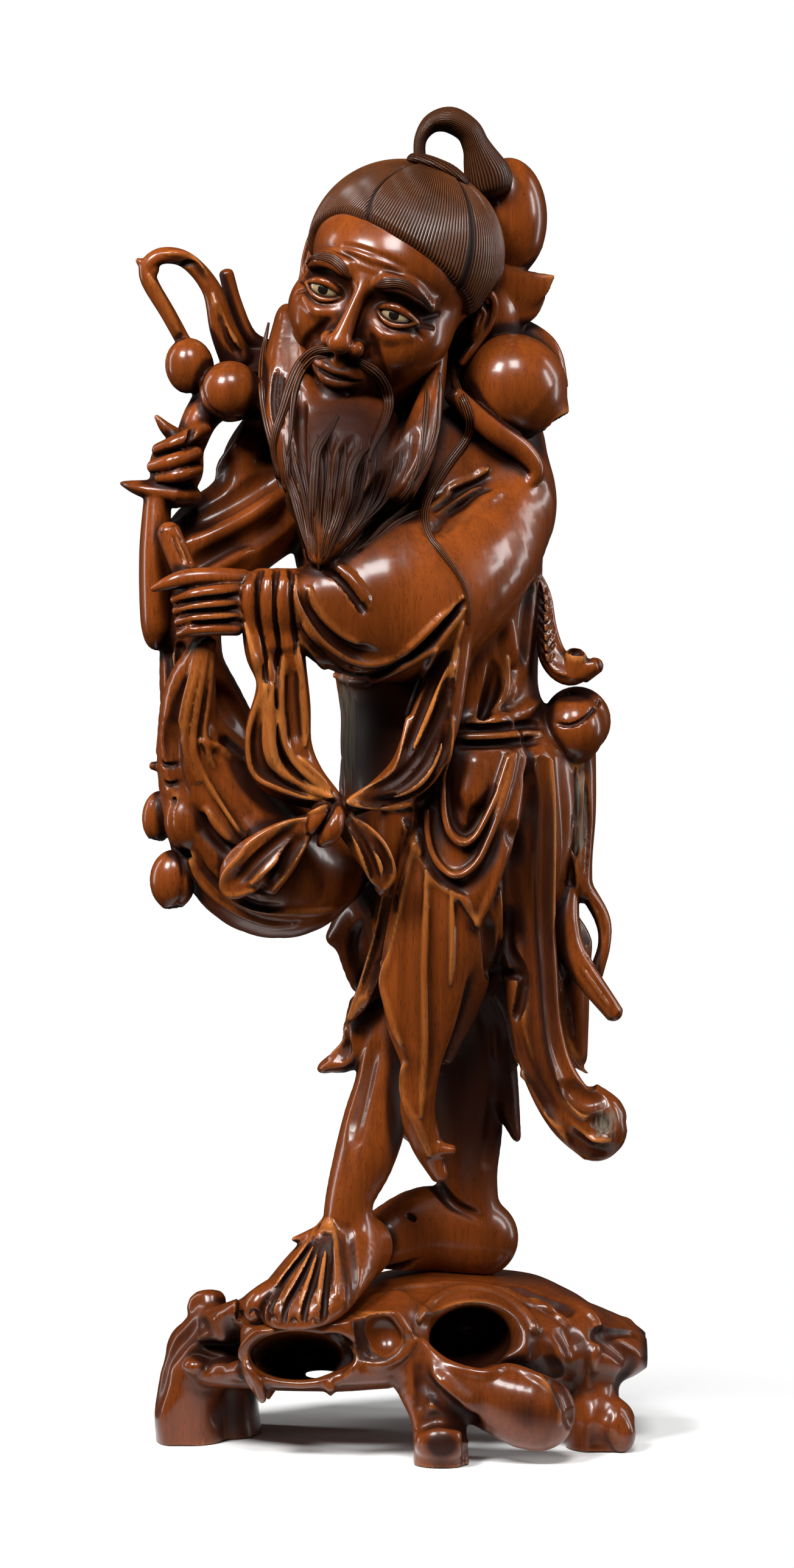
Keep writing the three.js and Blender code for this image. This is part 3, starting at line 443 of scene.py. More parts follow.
body.folds(0.8, 1.2, [[13.4, 172], [13.4, 158], [13, 145], [13.2, 130], [13.4, 118], [12.6, 108], [12, 98]], soft=1.4)
body.folds(0.8, 1.2, [[0.6, 165], [-0.8, 155], [-3.4, 146], [-6, 137.4], [-10, 127.4]],
           [[2.6, 164], [0.6, 153.6], [-2, 144], [-4.8, 135], [-9, 127.4]],
           [[5, 165], [3.2, 155.6], [0.6, 146], [-1.6, 139], [-4.6, 132], [-8.4, 127.2]], soft=1.2)
body.cuts(1.3, 1.4, [[1.7, 163], [0, 153.6], [-2.6, 144.4], [-6, 135]], [[4, 163], [2, 153], [-0.8, 143.6], [-3.6, 134.6]], soft=0.8)
body.cuts(1.8, 1.3, [[-6, 156], [-8.4, 150], [-8, 142]], [[-12, 123], [-10.6, 118], [-13, 115.4]], soft=1.4)
body.folds(0.8, 1.1, [[-3.4, 163], [-2.2, 157], [-1.6, 152.4]], [[-10.8, 126], [-10.8, 120.6], [-15.6, 115.6]], soft=1.2)
body.cuts(2.6, 2.6, [[32.4, 157], [33, 147], [33.4, 138]], soft=1.4)
body.cuts(1.8, 1.5, [[31, 128], [32, 116], [34.6, 102]], [[36.6, 124], [37, 112], [38.6, 99]], soft=1.4)

# The folds behind and at the sides
# Plainer than the front: a few long flutes from the belt to the hem, and slack cloth over the belt.
for x in (-6, 6, 19, 32, 44):
    body.folds(2.0, 1.7, [[x * 0.7 + 6, 206], [x * 0.9 + 3, 185], [x * 1.02, 160], [x * 0.96 + 1, 134], [x * 0.86 + 2, 112]],
               view="back", soft=2.4)
for x in (0, 12.5, 25.5, 38):
    body.cuts(1.8, 2.0, [[x * 0.75 + 5, 203], [x * 0.92 + 2, 182], [x * 1.0, 158], [x * 0.94 + 1, 132], [x * 0.86 + 2, 106]],
              view="back", soft=2)
body.folds(1.3, 1.3, [[-12, 213], [2, 211], [19, 210.4], [36, 211.4], [50, 213.6]], view="back")
body.cuts(1.3, 2.2, [[-12, 209.6], [2, 207.6], [19, 207], [36, 208], [50, 210]],
          [[-12, 216.6], [2, 214.6], [19, 214], [36, 215], [50, 217]], view="back")
body.folds(2.4, 1.8, [[44, 282], [38, 262], [30, 244], [20, 228]], [[8, 280], [10, 262], [6, 244], [0, 228]],
           [[-14, 278], [-6, 258], [2, 240], [12, 224]], [[30, 284], [27, 268], [22, 252]], view="back", soft=3)
body.cuts(2.2, 2.5, [[38, 284], [33, 264], [24, 244], [14, 226]], [[18, 280], [17, 264], [13, 250], [6, 234]], view="back",
          soft=2.4)
for y in (-6, 5, 16):
    body.folds(1.7, 1.5, [[y, 204], [y + 2, 188], [y + 3, 170], [y + 3, 154], [y + 4, 140]], view="left", soft=2.2)
    body.cuts(1.5, 1.7, [[y + 5.5, 202], [y + 7.5, 186], [y + 8, 168], [y + 8.6, 150]], view="left", soft=1.8)
body.folds(1.6, 1.4, [[-2, 205], [0, 190], [4, 175], [8, 160]], [[8, 205], [11, 188], [14, 170], [15, 155]], view="right",
           soft=2.2)
body.cuts(1.7, 2.2, [[3, 204], [5.6, 188], [9, 172], [12, 158]], [[14, 203], [18, 186], [20, 168]], view="right", soft=1.8)

# The robe above the belt
# Slack cloth drawn down from the left shoulder, with a scooped slit at the hip, and a narrow belt under it.
body.cuts(2.9, 1.8, [[36.6, 271], [33, 264.4], [29.4, 258], [27.4, 250]], [[31.6, 262], [28.4, 254], [26, 246.6]], soft=1.6)
body.folds(0.9, 1.5, [[38.4, 274.4], [35.8, 270], [33, 265.4], [30, 260.6], [27, 256.6]],
           [[34, 261], [31.6, 256], [29.6, 251.6], [28.4, 245.6], [26.8, 239], [24.8, 232.6], [22.4, 226.6], [21, 222]], soft=1.6)
body.cuts(3.3, 2.1, [[45.4, 262], [44.2, 251], [43, 240], [41.4, 230]], soft=2.4)
body.folds(2.6, 1.2, [[36, 256], [37.4, 246], [38.6, 238], [38.8, 230], [36.6, 222]], soft=3)
body.folds(1.6, 1.3, [[26, 216], [34, 217], [42, 219.4], [48, 223.4]], soft=2.2)
body.limb([[29.8, 217.4, -22, 0.8, 2], [32, 222, -22, 2.4, 5], [34, 229, -22, 3.2, 6], [33.6, 235, -22, 2, 3]], soft=0.8,
          cut=True)
body.folds(0.9, 1.4, [[37.6, 236], [37.8, 229], [36, 223], [31, 216.8]])
body.cuts(1.4, 2.1, [[23, 214.4], [30, 214.6], [38, 215], [47, 216]])
body.folds(1.0, 1.1, [[22, 212.2], [30, 212.2], [38, 212.6], [47.6, 213.4]])
body.cuts(1.2, 1.8, [[22, 209.8], [30, 209.8], [38, 210.2], [46, 211]])

# The arms and hands
# The right arm is raised to the branch, its sleeve falling behind. The left forearm crosses the chest to a stick.
body.limb([[-20, 289, 8, 15, 15], [-38, 278, 0, 15, 14], [-52, 267, -9, 15, 13], [-60, 255, -15, 10, 12],
           [-62, 246, -18, 8, 10]], soft=3)
body.limb([[-36, 306, 4, 5, 7], [-41, 296, -1, 6, 8], [-43.5, 286, -3, 5, 7]], soft=4)
body.cuts(3.5, 2.4, [[-30, 292], [-42, 284], [-54, 278], [-62, 276]], [[-26, 280], [-38, 272], [-50, 266], [-60, 262]], soft=2)
body.folds(1.8, 1.6, [[-28, 286], [-40, 278], [-52, 272], [-61, 269]], [[-40, 268], [-50, 262], [-58, 256]], soft=2.2)
body.folds(1.6, 1.2, [[-38, 310], [-42, 301], [-47, 294], [-48.6, 290]], soft=2)
body.limb([[-66.5, 286, -22, 4, 6], [-67.5, 268, -24, 4.6, 8], [-67, 250, -24, 5, 8], [-67, 243.6, -24, 4, 6]], soft=1.4,
          end=0.3)
body.limb([[-57, 250, -16, 9, 12], [-56.5, 234, -18, 9.5, 13], [-53, 220, -20, 12.5, 14], [-49, 209, -20, 14, 13]],
          soft=2)
body.cuts(1.5, 2.5, [[-63.6, 240], [-63, 232], [-62.6, 224]], [[-60, 240], [-59.4, 232]], soft=1.2)
body.folds(1.4, 1.4, [[-20, 282], [-36, 276], [-50, 270], [-60, 262]], [[-24, 296], [-38, 288], [-52, 280]],
           [[-50, 262], [-55, 250], [-56, 236], [-52, 222]], [[-60, 256], [-62, 244], [-61, 230]], view="back", soft=2)
body.cuts(1.7, 2.5, [[-22, 289], [-37, 282], [-51, 275]], [[-52, 256], [-58, 244], [-58, 230]], view="back", soft=1.8)
body.limb([[37, 281, 4, 16, 17], [26, 266, -14, 20, 18], [8, 254, -28, 24, 18], [-10, 250, -36, 18, 13],
           [-22, 252, -40, 11, 9.5], [-31, 253, -43, 9.6, 8], [-38, 254, -43, 8.6, 7]], soft=3, end=0.3)
body.ball(40, 288, 2, [11, 12, 12], soft=6)
body.folds(1.4, 1.5, [[-14.2, 264.4], [-9.6, 260.4], [-6, 256], [-3.4, 251.4]])
body.cuts(1.2, 2.4, [[-16.4, 262.4], [-12, 258.6], [-8.4, 254.4], [-5, 249.6]], soft=0.8)
body.cuts(1.7, 2.5, [[4, 233.6], [10, 237.8], [15, 242], [20, 247.4], [24.4, 252.4]], soft=1)
body.cuts(1.4, 1.7, [[-22.6, 243], [-18, 238], [-13, 233.8], [-7.6, 231], [-2, 230.8], [4, 233.4]], soft=1)
body.cuts(2.6, 1.8, [[-23, 254], [-20, 248], [-15, 242.4], [-9, 238], [-3, 236]], soft=1.6)
body.folds(0.9, 1.4, [[-24.6, 242], [-20, 236.4], [-16, 232.4], [-11, 229.4], [-5, 228.6], [0, 230], [6, 232.8], [12, 236.2],
                      [16.4, 239], [20, 244], [25, 250.6]],
           [[-25.6, 260.6], [-25.4, 254], [-22.4, 247.4], [-17.6, 241], [-11, 236], [-5, 233.8], [0, 234.2], [5, 236.2],
            [10, 240], [15, 245], [20, 250], [24.4, 254]],
           [[-23.4, 246], [-19, 240.4], [-14, 235.8], [-9, 232.8], [-4.6, 231.8]],
           [[-21.4, 257], [-20.6, 252.6], [-17.6, 248], [-12.6, 243.4], [-7, 240.2]],
           [[-41.4, 261.4], [-43, 257], [-42.4, 251], [-40.6, 244.6]], soft=1.6)
body.cuts(2.9, 2.2, [[15.4, 275], [18.4, 276], [22, 279.6], [27, 283.4]], soft=2)
body.cuts(2.0, 1.5, [[17, 280.4], [21, 284.2], [26, 287.6], [31, 290.4]], [[22, 280], [26, 283], [31, 286.6]], soft=1.6)
body.folds(0.9, 1.5, [[20, 286.2], [24, 288], [28, 289.6], [32, 292.6]], [[16.6, 278.6], [22, 282], [26, 284.8], [29.4, 286.8]],
           [[22, 278.2], [26, 280.8], [31, 284.8]], [[15, 281], [18, 282.8], [21, 285]], soft=1.6)
body.folds(1.6, 1.0, [[18, 272.6], [22, 276.2], [26, 278.8], [30, 281.6], [36, 285.6]], soft=2.4)
body.folds(1.5, 1.3, [[-14, 240], [-2, 234], [10, 234], [20, 240]], view="back", soft=2)

body.limb([[-40, 253.4, -43, 7.2, 6], [-50, 252.5, -43, 7.6, 6.2], [-57, 252, -42, 6.4, 5.4]], soft=1.2)
for i in range(4):
    body.limb([[-43, 256.4 - 3.9 * i, -47, 2.1, 2.6], [-50.5, 255.7 - 3.7 * i, -50, 2, 2.4],
               [-56, 254.8 - 3.5 * i, -50, 2, 2.4], [-61.6 + 0.6 * i, 253.4 - 3.4 * i, -47, 1.6, 1.9]], soft=0.4)
body.limb([[-56, 244.6, -48, 1.8, 2], [-60.8, 242.6, -46, 0.7, 1.2]], soft=0.6)
body.limb([[-41, 259.4, -44, 3, 3.4], [-50, 260, -46.5, 3, 3], [-58, 259.6, -48, 2.8, 2.6], [-63, 258.4, -48, 2.2, 2.2],
           [-68, 256.6, -46, 1, 1.4]], soft=0.7)
body.cuts(0.8, 1.3, [[-43, 254.6], [-50, 254], [-56, 253], [-61, 251.8]], [[-43, 250.8], [-50, 250.2], [-56, 249.6], [-60, 248.6]],
          [[-43, 247.2], [-50, 246.8], [-57, 246]], soft=0.6)
body.limb([[-63.6, 274.2, -40, 3.5, 3.5], [-57, 258, -42, 3.7, 3.7]], soft=0.6, end=0.12)
body.cuts(0.6, 0.8, [[-62.4, 273], [-58.6, 264]], [[-60.4, 272.4], [-56.6, 263.6]], soft=0.4)
body.ball(-61, 293, -20, [8, 8, 9], soft=1.5)
for finger in ([[-67, 308, -22, 0.7, 1], [-63.5, 304, -22, 2, 2.2], [-58, 300, -21, 2.8, 3]],
               [[-66.5, 298, -24, 2, 2.8], [-60, 300.6, -26, 2.5, 3.2], [-52.6, 304.4, -21, 2.3, 3]],
               [[-68, 293, -26, 2, 2.4], [-62, 294.6, -30, 2.4, 2.6], [-55, 297, -26, 2.3, 2.4]],
               [[-66, 289.6, -27, 1.8, 2.2], [-60, 290.6, -30, 2.1, 2.2], [-54.6, 292, -26, 1.8, 2]]):
    body.limb(finger, soft=0.6)
body.limb([[-75.4, 287.6, -20, 0.9, 3], [-69, 286.2, -21, 2.6, 7], [-61, 285, -21, 4.4, 9]], soft=0.8)

# The branch
# A knotted bough over the right shoulder with a twig that loops back on itself, a stub and two small fruits.
body.limb([[34, 329, 8, 6.5, 7], [8, 331, 16, 6, 7], [-22, 326, 8, 7, 8], [-41, 319, -4, 8, 8], [-52, 310, -12, 5.6, 7],
           [-57, 300, -17, 4.8, 6], [-61, 289, -19, 5, 6]], soft=2)
body.limb([[-57, 327, -12, 2.2, 2.6], [-63, 338, -12, 2.3, 2.6], [-69.5, 350, -12, 2.5, 3], [-66, 355.5, -12, 2.5, 3],
           [-58, 354.5, -11, 2.5, 3], [-50.5, 346, -10, 2.9, 3.2], [-47, 334, -10, 4, 4], [-43, 325, -8, 5, 5]], soft=1)
body.limb([[-68, 351, -12, 2.4, 2.4], [-72.4, 354.5, -12, 0.8, 1.2]], soft=0.8)
body.limb([[-46, 350.4, -5, 2.2, 2.4], [-43.5, 341, -4, 2.4, 2.6], [-39, 331.5, -3, 2.4, 3], [-31, 327, 0, 2.8, 3]],
          soft=1.2)
body.folds(1.0, 1.2, [[-60, 333], [-64, 341], [-69, 350]], [[-64, 356.6], [-57, 355.6], [-52, 350]], [[-50, 344], [-46.6, 335], [-42, 328]],
           [[-34, 322], [-42, 320], [-50, 313]], soft=1)
body.cuts(0.9, 1.1, [[-62, 352.4], [-56, 353.4], [-51.6, 348]], [[-48.6, 340], [-46, 332], [-42, 325.6]],
          [[-56, 305], [-58, 298]], soft=0.8)


# The peaches
# Fruit on the branch, behind the shoulder, on the sack and at the waist, each with a tip and a crease down one side.
def peach(clay, x, z, y, half_width, half_height, lean, crease):
    """An egg with a drawn-out tip: an ellipsoid, a cone at one pole, and a groove along half a great circle."""
    centre = seen(np.array(float(x)), np.array(float(z)), np.array(float(y)))
    tilt = radians(lean)
    tip = np.array([sin(tilt), 0, cos(tilt)])
    clay.ball(x, z, y, [half_width, half_width, half_height], lean, soft=0.7)
    ahead = half_height * np.array([0.55, 0.9, 1.12])
    clay.tube(centre + ahead[:, None] * tip, half_width * np.array([0.62, 0.3, 0.06]), soft=half_width * 0.35)
    side = np.cross(tip, BACK)
    out = cos(radians(crease)) * side + sin(radians(crease)) * BACK
    turn = np.linspace(0.04, 0.93, 28)[:, None] * pi
    line = centre + half_height * np.cos(turn) * tip * 1.02 + half_width * np.sin(turn) * out * 1.03
    clay.tube(line, np.interp(turn[:, 0], [0, 0.5, 2.5, pi], [0.5, 0.09, 0.08, 0.02]) * half_width * 0.9, soft=1.1,
              cut=True)


peach(body, -57, 323, -14, 7.2, 8.4, 170, 200)
peach(body, -45, 315.5, -19, 9.0, 9.0, 130, 215)
body.ball(30, 338, 8, [13, 12, 15], soft=3)
peach(body, 38.4, 367.5, 6, 11.1, 17.4, 178, 200)
peach(body, 39.5, 317, -4, 15.5, 16, 128, 190)
for leaf in ([[34, 350, 0, 4, 1.6], [43, 346, 2, 5.5, 1.6], [51.4, 349.6, 3, 0.5, 0.8]],
             [[38, 332, 8, 7, 3], [48, 327, 8, 5.5, 3], [54, 317, 6, 2, 2]],
             [[34, 341, 3, 6, 3], [41, 341, 4, 6, 3], [46.5, 345, 5, 3, 2]]):
    body.limb(leaf, soft=1)
body.limb([[22, 314, -16, 3, 3], [33, 304.5, -15, 3.6, 3], [42.5, 297.5, -11, 3.4, 3], [46, 291, -9, 2.6, 3],
           [40, 283.8, -11, 0.8, 1.6]], soft=0.8)

# The sack
# A cloth bag hung from the wrists, gathered in long folds at its neck and tied below, with three fruits beside it.
body.limb([[-53, 240, -42, 3.6, 4], [-57, 226, -38, 7.6, 7.6], [-57, 213, -33, 9.6, 11], [-50, 196, -27, 16, 16],
           [-40, 179, -23, 21, 20], [-29, 172, -20, 20, 18], [-14, 172, -16, 10, 12]], soft=2)
body.cuts(2.0, 2.2, [[-46, 211], [-40, 206]], soft=1.6)
body.cuts(2.4, 2.0, [[-57.6, 232], [-61, 222], [-62.6, 213], [-62.6, 206]], [[-57.6, 190], [-53, 184.6], [-48.6, 180.4], [-44, 176.4]],
          soft=1.6)
for lip in ([[-55.4, 240, -44.4], [-58.6, 231, -43.4], [-62, 222, -40.6], [-65, 214, -36.6], [-66.2, 208, -32.6]],
            [[-54.4, 240, -45.4], [-56.6, 231, -45.8], [-59, 221.6, -45], [-60.4, 212, -43], [-60, 204.4, -41], [-57.6, 198, -40.4],
             [-54, 193.4, -41]],
            [[-53, 241, -46], [-54.8, 231, -46.4], [-57, 222, -45.6], [-58.2, 213, -44.2], [-57.6, 205, -42.8], [-54.8, 199, -42.4]],
            [[-51.6, 242, -46], [-52.8, 232, -46], [-54.6, 222, -45.4], [-55.8, 212.4, -44.2], [-55.3, 206, -43.4], [-52.2, 199.4, -43.2],
             [-46.6, 190.4, -43.8], [-41, 182, -43.4]],
            [[-50.2, 241, -45], [-50.8, 232, -44.4], [-51.8, 222, -43.8], [-52.8, 213, -43.4], [-50.6, 204.6, -43.2],
             [-47, 197.6, -43], [-43.6, 191.4, -43.2], [-40, 184, -43.4]]):
    body.limb([[*place, 0.95, 1.3] for place in lip], soft=1.2)
body.cuts(3.1, 1.6, [[-50, 204.6], [-46.4, 198], [-42, 191], [-38.4, 186]], [[-63.4, 214], [-62.6, 202], [-60, 194]], soft=1.6)
body.folds(0.9, 1.2, [[-54, 211], [-47, 208.2], [-40.6, 203.8]],
           [[-58, 177], [-55.6, 170.6], [-51, 165], [-44, 160], [-37, 156.8], [-31, 155.6], [-25, 156]],
           [[-46.6, 165], [-40, 161.4], [-33, 159.8], [-25, 159.4], [-18, 159.8], [-13, 160.8]],
           [[-52.4, 190.6], [-48.4, 184.4], [-43.6, 180]], soft=1.6)
body.cuts(1.3, 1.5, [[-53, 187.6], [-49.4, 182.4], [-44.6, 178]], [[-56, 177], [-52.4, 171.4], [-46, 165.8], [-38, 161.6], [-30, 160.4]],
          soft=1.2)
body.folds(1.5, 1.3, [[-52, 230], [-56, 212], [-52, 194], [-42, 176], [-34, 164]], [[-46, 224], [-44, 208], [-38, 190], [-30, 174]],
           view="back", soft=2)
body.cuts(1.4, 2.2, [[-50, 226], [-51, 210], [-46, 192], [-37, 174]], view="back", soft=1.6)
peach(body, -66.6, 188.4, -22, 4.9, 7.6, 185, 240)
peach(body, -58.3, 186.6, -35, 6.5, 8.6, 175, 230)
peach(body, -62.4, 169.4, -31, 6.8, 8.8, 182, 300)
body.limb([[-63, 206, -28, 3, 3.4], [-62.5, 196, -28, 3.2, 3.4]], soft=0.8)
body.limb([[-68.5, 203.6, -27, 1.2, 1.6], [-63, 203, -28, 2.2, 2.4]], soft=0.6)
body.cuts(0.7, 1.0, [[-65.6, 204.4], [-62.6, 203.6], [-60.4, 204.6]], [[-65, 198.6], [-62.6, 198], [-60.4, 199]], soft=0.5)

# The sash
# Two pleated ends come down from the wrist and from the hip, meet at a knot, and spread in three loops.
body.limb([[-36, 252, -44, 6, 5], [-36, 238, -44.5, 4.6, 4.4], [-33.6, 228, -44.5, 3.6, 4], [-35, 214, -44, 5.4, 4.4],
           [-33, 203, -43, 6.4, 4.4], [-25, 197, -42, 5.2, 4], [-14, 192.4, -41, 2.6, 3]], soft=1.2)
body.limb([[-28, 250, -43, 5, 5], [-27, 236, -43.5, 4.4, 4.4], [-26, 222, -43, 4.8, 4.4], [-25.6, 210, -42.6, 4.8, 4.2],
           [-21.6, 201.4, -42, 4, 3.8], [-14, 193.6, -41, 2.4, 3]], soft=1.2)
body.limb([[25.5, 249, -32, 2.6, 4], [20.5, 232, -33, 5.6, 5], [15, 214, -34, 7.6, 5], [9, 201.5, -36, 6.8, 5],
           [-3, 194, -39, 3.6, 4], [-12, 190.5, -41, 3, 3]], soft=1.2)
body.folds(2.4, 1.5, [[-38.6, 261], [-39.4, 254], [-38.8, 246], [-37.4, 238], [-36.4, 231]], [[-33.2, 262], [-34, 254],
           [-33.4, 245], [-32.2, 236]], [[-28.8, 262], [-29.6, 254], [-29, 245], [-27.4, 236]], soft=1)
body.cuts(0.8, 2.0, [[-35.9, 262.4], [-36.7, 254], [-36.1, 245], [-34.9, 236], [-34.6, 228]],
          [[-31.1, 262.6], [-31.9, 254], [-31.2, 245], [-30, 236], [-30.6, 228]],
          [[-26.6, 262], [-27.2, 254], [-26.2, 245], [-25, 237]], soft=0.8)
body.cuts(2.0, 2.0, [[-37, 219], [-37.4, 209], [-35.6, 202.8], [-30, 199.2], [-23.6, 196.4], [-17, 194.2]],
          [[-27, 234], [-26.7, 223], [-26, 214.6], [-25.6, 209.6]], soft=1.2)
body.cuts(1.1, 2.2, [[-31.3, 226], [-31.3, 214], [-30, 206.8], [-26.4, 202], [-21, 197.8], [-16, 195.2]],
          [[-33.6, 226], [-33.6, 215], [-33, 208], [-31, 203.6], [-27, 199.9]], soft=0.8)
body.folds(0.8, 1.5, [[-40.8, 246], [-38.6, 238], [-36.8, 231], [-35.9, 226], [-37.6, 221], [-39.5, 214.4], [-39.8, 208],
                       [-38.8, 202.6], [-36, 199], [-30, 196.4], [-24, 194.4], [-17, 192.8]],
           [[-34.4, 228], [-34.4, 219], [-34.7, 211.4], [-33.6, 206], [-31.4, 202], [-27.6, 198.8], [-21.6, 195.8], [-15.6, 193.8]],
           [[-32.4, 228], [-32.7, 217], [-32.4, 209], [-30.2, 203], [-26, 199.2], [-20, 196], [-14.4, 193.8]],
           [[-29.6, 236], [-29.9, 224], [-29.4, 213.6], [-27.6, 207.2], [-24, 202.2], [-19, 198], [-14.4, 194.2]],
           [[-25, 240], [-23.6, 231], [-22.7, 222], [-22.2, 214.6], [-22.5, 209.6]],
           [[-24.4, 206], [-21.4, 203], [-18, 200], [-15.2, 196.6]], soft=1.5)
body.folds(0.8, 1.5, [[16.6, 238], [12.2, 229], [8.6, 219], [7, 212], [5.6, 205], [3.4, 200.6], [0, 198.4], [-5, 196.4], [-10, 193.4]],
           [[24.6, 246], [20, 233], [17, 225], [13.6, 217], [10.4, 210], [7.4, 205], [3.6, 200.6], [-2, 197], [-10, 193.2]],
           [[23, 238], [20, 224], [16.4, 214], [13.4, 207], [10, 202], [5, 197.8], [-2, 195.4], [-10, 192.8]],
           [[22.4, 234], [20, 222], [18.6, 214], [17, 206.6], [13.4, 200], [8, 196], [0, 193.8], [-10, 192.4]],
           [[21.6, 217.6], [20.8, 209], [19.2, 203], [16.4, 197.4], [12, 193.2], [6, 191.2], [0, 190.8], [-10, 191.8]])
body.cuts(1.5, 2.2, [[19, 236], [14.6, 226], [11, 216], [8.6, 209], [6, 203.4], [2, 199.6], [-5, 195.8]],
          [[21, 231], [17, 219], [13.6, 211.6], [10.4, 205.6], [6, 200.6], [0, 197], [-6, 194.6]],
          [[20.8, 228], [18.2, 217], [15.4, 208.4], [12, 202.4], [7, 197.8], [0, 194.8], [-7, 193.2]],
          [[20, 216], [18.8, 208.6], [16, 202], [11.6, 196.4], [5, 193.6], [-4, 192.4]])
for loop in ([[-20, 187.4, -43, 2.2, 2.6], [-31, 181.5, -46, 4.6, 3], [-40, 173, -46.4, 7.0, 3], [-44.2, 167.4, -44.6, 4.4, 3]],
             [[-22, 184, -43, 1.6, 2.2], [-28.6, 175, -45, 3.6, 2.6], [-33.6, 167, -44, 2.8, 2.2]],
             [[-12, 187, -41, 2.6, 3], [-4.5, 180, -41, 5.0, 3.4], [0, 172, -39.6, 4.2, 3.4], [0.4, 166, -38, 1.4, 2.4]]):
    body.limb(loop, soft=0.9)
body.folds(0.8, 1.4, [[-21, 188.2], [-30, 185.8], [-38.6, 181], [-42.4, 176.2], [-46.4, 171.6], [-47.8, 167.6], [-46, 164.6],
                      [-42, 164.8], [-38.6, 166], [-36, 164.6]],
           [[-21.6, 184.8], [-28, 178], [-35, 171.4], [-38.8, 168]],
           [[-20.4, 183.6], [-25, 176.8], [-29.6, 170.6], [-32, 166.6]],
           [[-10, 186.4], [-7, 180], [-4.4, 173], [-2.4, 168.4]],
           [[-9, 188.6], [-4, 185], [0.8, 180], [3.4, 174], [3.6, 169.6], [1.4, 166.6]],
           [[-8.4, 187.4], [-3, 180.6], [-0.2, 174], [0.6, 169.4]])
body.cuts(2.0, 2.0, [[-24, 185.8], [-31, 180.4], [-37, 175.2], [-41.4, 170.4], [-44.4, 167.4]],
          [[-23, 183.4], [-28, 176], [-32.6, 169.6]])
body.cuts(1.3, 1.5, [[-9.2, 186.8], [-5.4, 180], [-2.6, 173.6], [-1.4, 169]], [[-7, 186.4], [-1.6, 180], [1.6, 174], [2, 170]])
body.limb([[-15.8, 192, -42, 1.6, 2], [-18.6, 188.4, -44.6, 3.2, 4], [-20.6, 184.8, -45, 1.8, 3]], soft=0.5)
body.limb([[-12.6, 191.6, -42, 1.4, 2], [-13.6, 187, -45, 2.6, 4], [-15.4, 183, -45.6, 3, 4], [-17.8, 180.6, -44, 1, 2]], soft=0.5)
body.cuts(0.7, 1.7, [[-14.6, 191], [-16.6, 186.6], [-18.6, 182.4]], soft=0.4)
body.folds(0.6, 1.1, [[-22.4, 188.8], [-19.6, 190.2], [-16, 192]], soft=0.8)

# The peach and cut twig at the waist
# A fruit hangs at the left hip from a leafy twig, over a strip left in rough bark that ends in a fork.
body.limb([[60, 207, 2, 4.4, 6], [60.2, 190, 0, 4.2, 6], [59.2, 176, -3, 4.2, 6], [60, 166, -4, 3.4, 5]], soft=1)
body.limb([[60.5, 168, -4, 2.6, 4], [66.2, 158, -4, 2.4, 3], [67, 150, -5, 1.9, 2.6], [64.5, 141, -6, 2.2, 3]], soft=0.7)
body.limb([[56.6, 166, -5, 2.8, 4], [55.4, 157, -8, 4.2, 4.4], [56.6, 149, -9, 4.5, 4.4], [61.4, 140.6, -11, 3.9, 3.8],
           [70.4, 128.6, -12, 2.8, 2.9]], soft=0.7, end=0.12)
body.cuts(0.7, 0.8, [[58, 204], [58.6, 194], [57.8, 186]], [[61, 200], [61.4, 188], [60.4, 176]], [[58.6, 182], [57.6, 172], [59.6, 165]],
          [[62.4, 192], [62.2, 180], [61.4, 170]], soft=0.5)
body.folds(0.9, 0.8, [[59.6, 206], [60, 196], [59.4, 187], [58.4, 180]], [[57, 178], [58.6, 172], [58.6, 166]], soft=0.6)
body.cuts(0.5, 0.6, [[61.4, 147], [66, 140.6], [71, 133]], [[60, 145], [64.6, 138.4], [69.8, 131]], [[58.8, 143], [63.4, 136.4], [68.8, 129]],
          [[64, 163], [66.6, 157], [67, 151]], soft=0.4)
body.ball(58.6, 217, 3, [10.2, 9, 10.4], soft=0.8)
peach(body, 57.6, 214.6, -4, 9.4, 10.2, 186, 120)
body.cuts(0.7, 1.0, [[52, 216.4], [56, 215.6], [60, 217], [64, 220.6], [65.6, 223.6]], soft=0.5)
body.limb([[45.6, 264, 2, 0.6, 1], [48.6, 255, 0, 2.2, 1.6], [49.6, 245, -3, 3.0, 2], [51.4, 236.4, -6, 4.2, 2.4],
           [56.4, 231.6, -8, 4.0, 2.8], [63.6, 233.4, -8, 2.4, 2.4]], soft=0.8)
body.folds(0.6, 0.6, [[46, 263], [48.8, 254], [49, 244], [49.6, 236], [53, 231.6], [59, 230.6]], soft=0.4)
for z in range(236, 260, 3):
    middle = 49.2 + 0.04 * abs(z - 248) - 0.25 * max(0, z - 252)
    body.cuts(0.35, 0.45, [[middle + 0.3, z - 1.6], [middle + 2.2, z + 1.2]], [[middle - 0.3, z - 1.6], [middle - 1.8, z + 0.8]],
              soft=0.3, ends=1)
body.limb([[57, 230, -8, 3.2, 3.2], [58.3, 236.8, -8, 3.5, 3.5]], soft=0.5, end=0.12)
body.limb([[60, 231, -3, 3, 3], [64.8, 234, -2, 2.5, 2.7]], soft=0.5, end=0.2)
body.ball(58.4, 237.4, -9, [2.3, 2.3, 1.6], soft=0.5, cut=True)

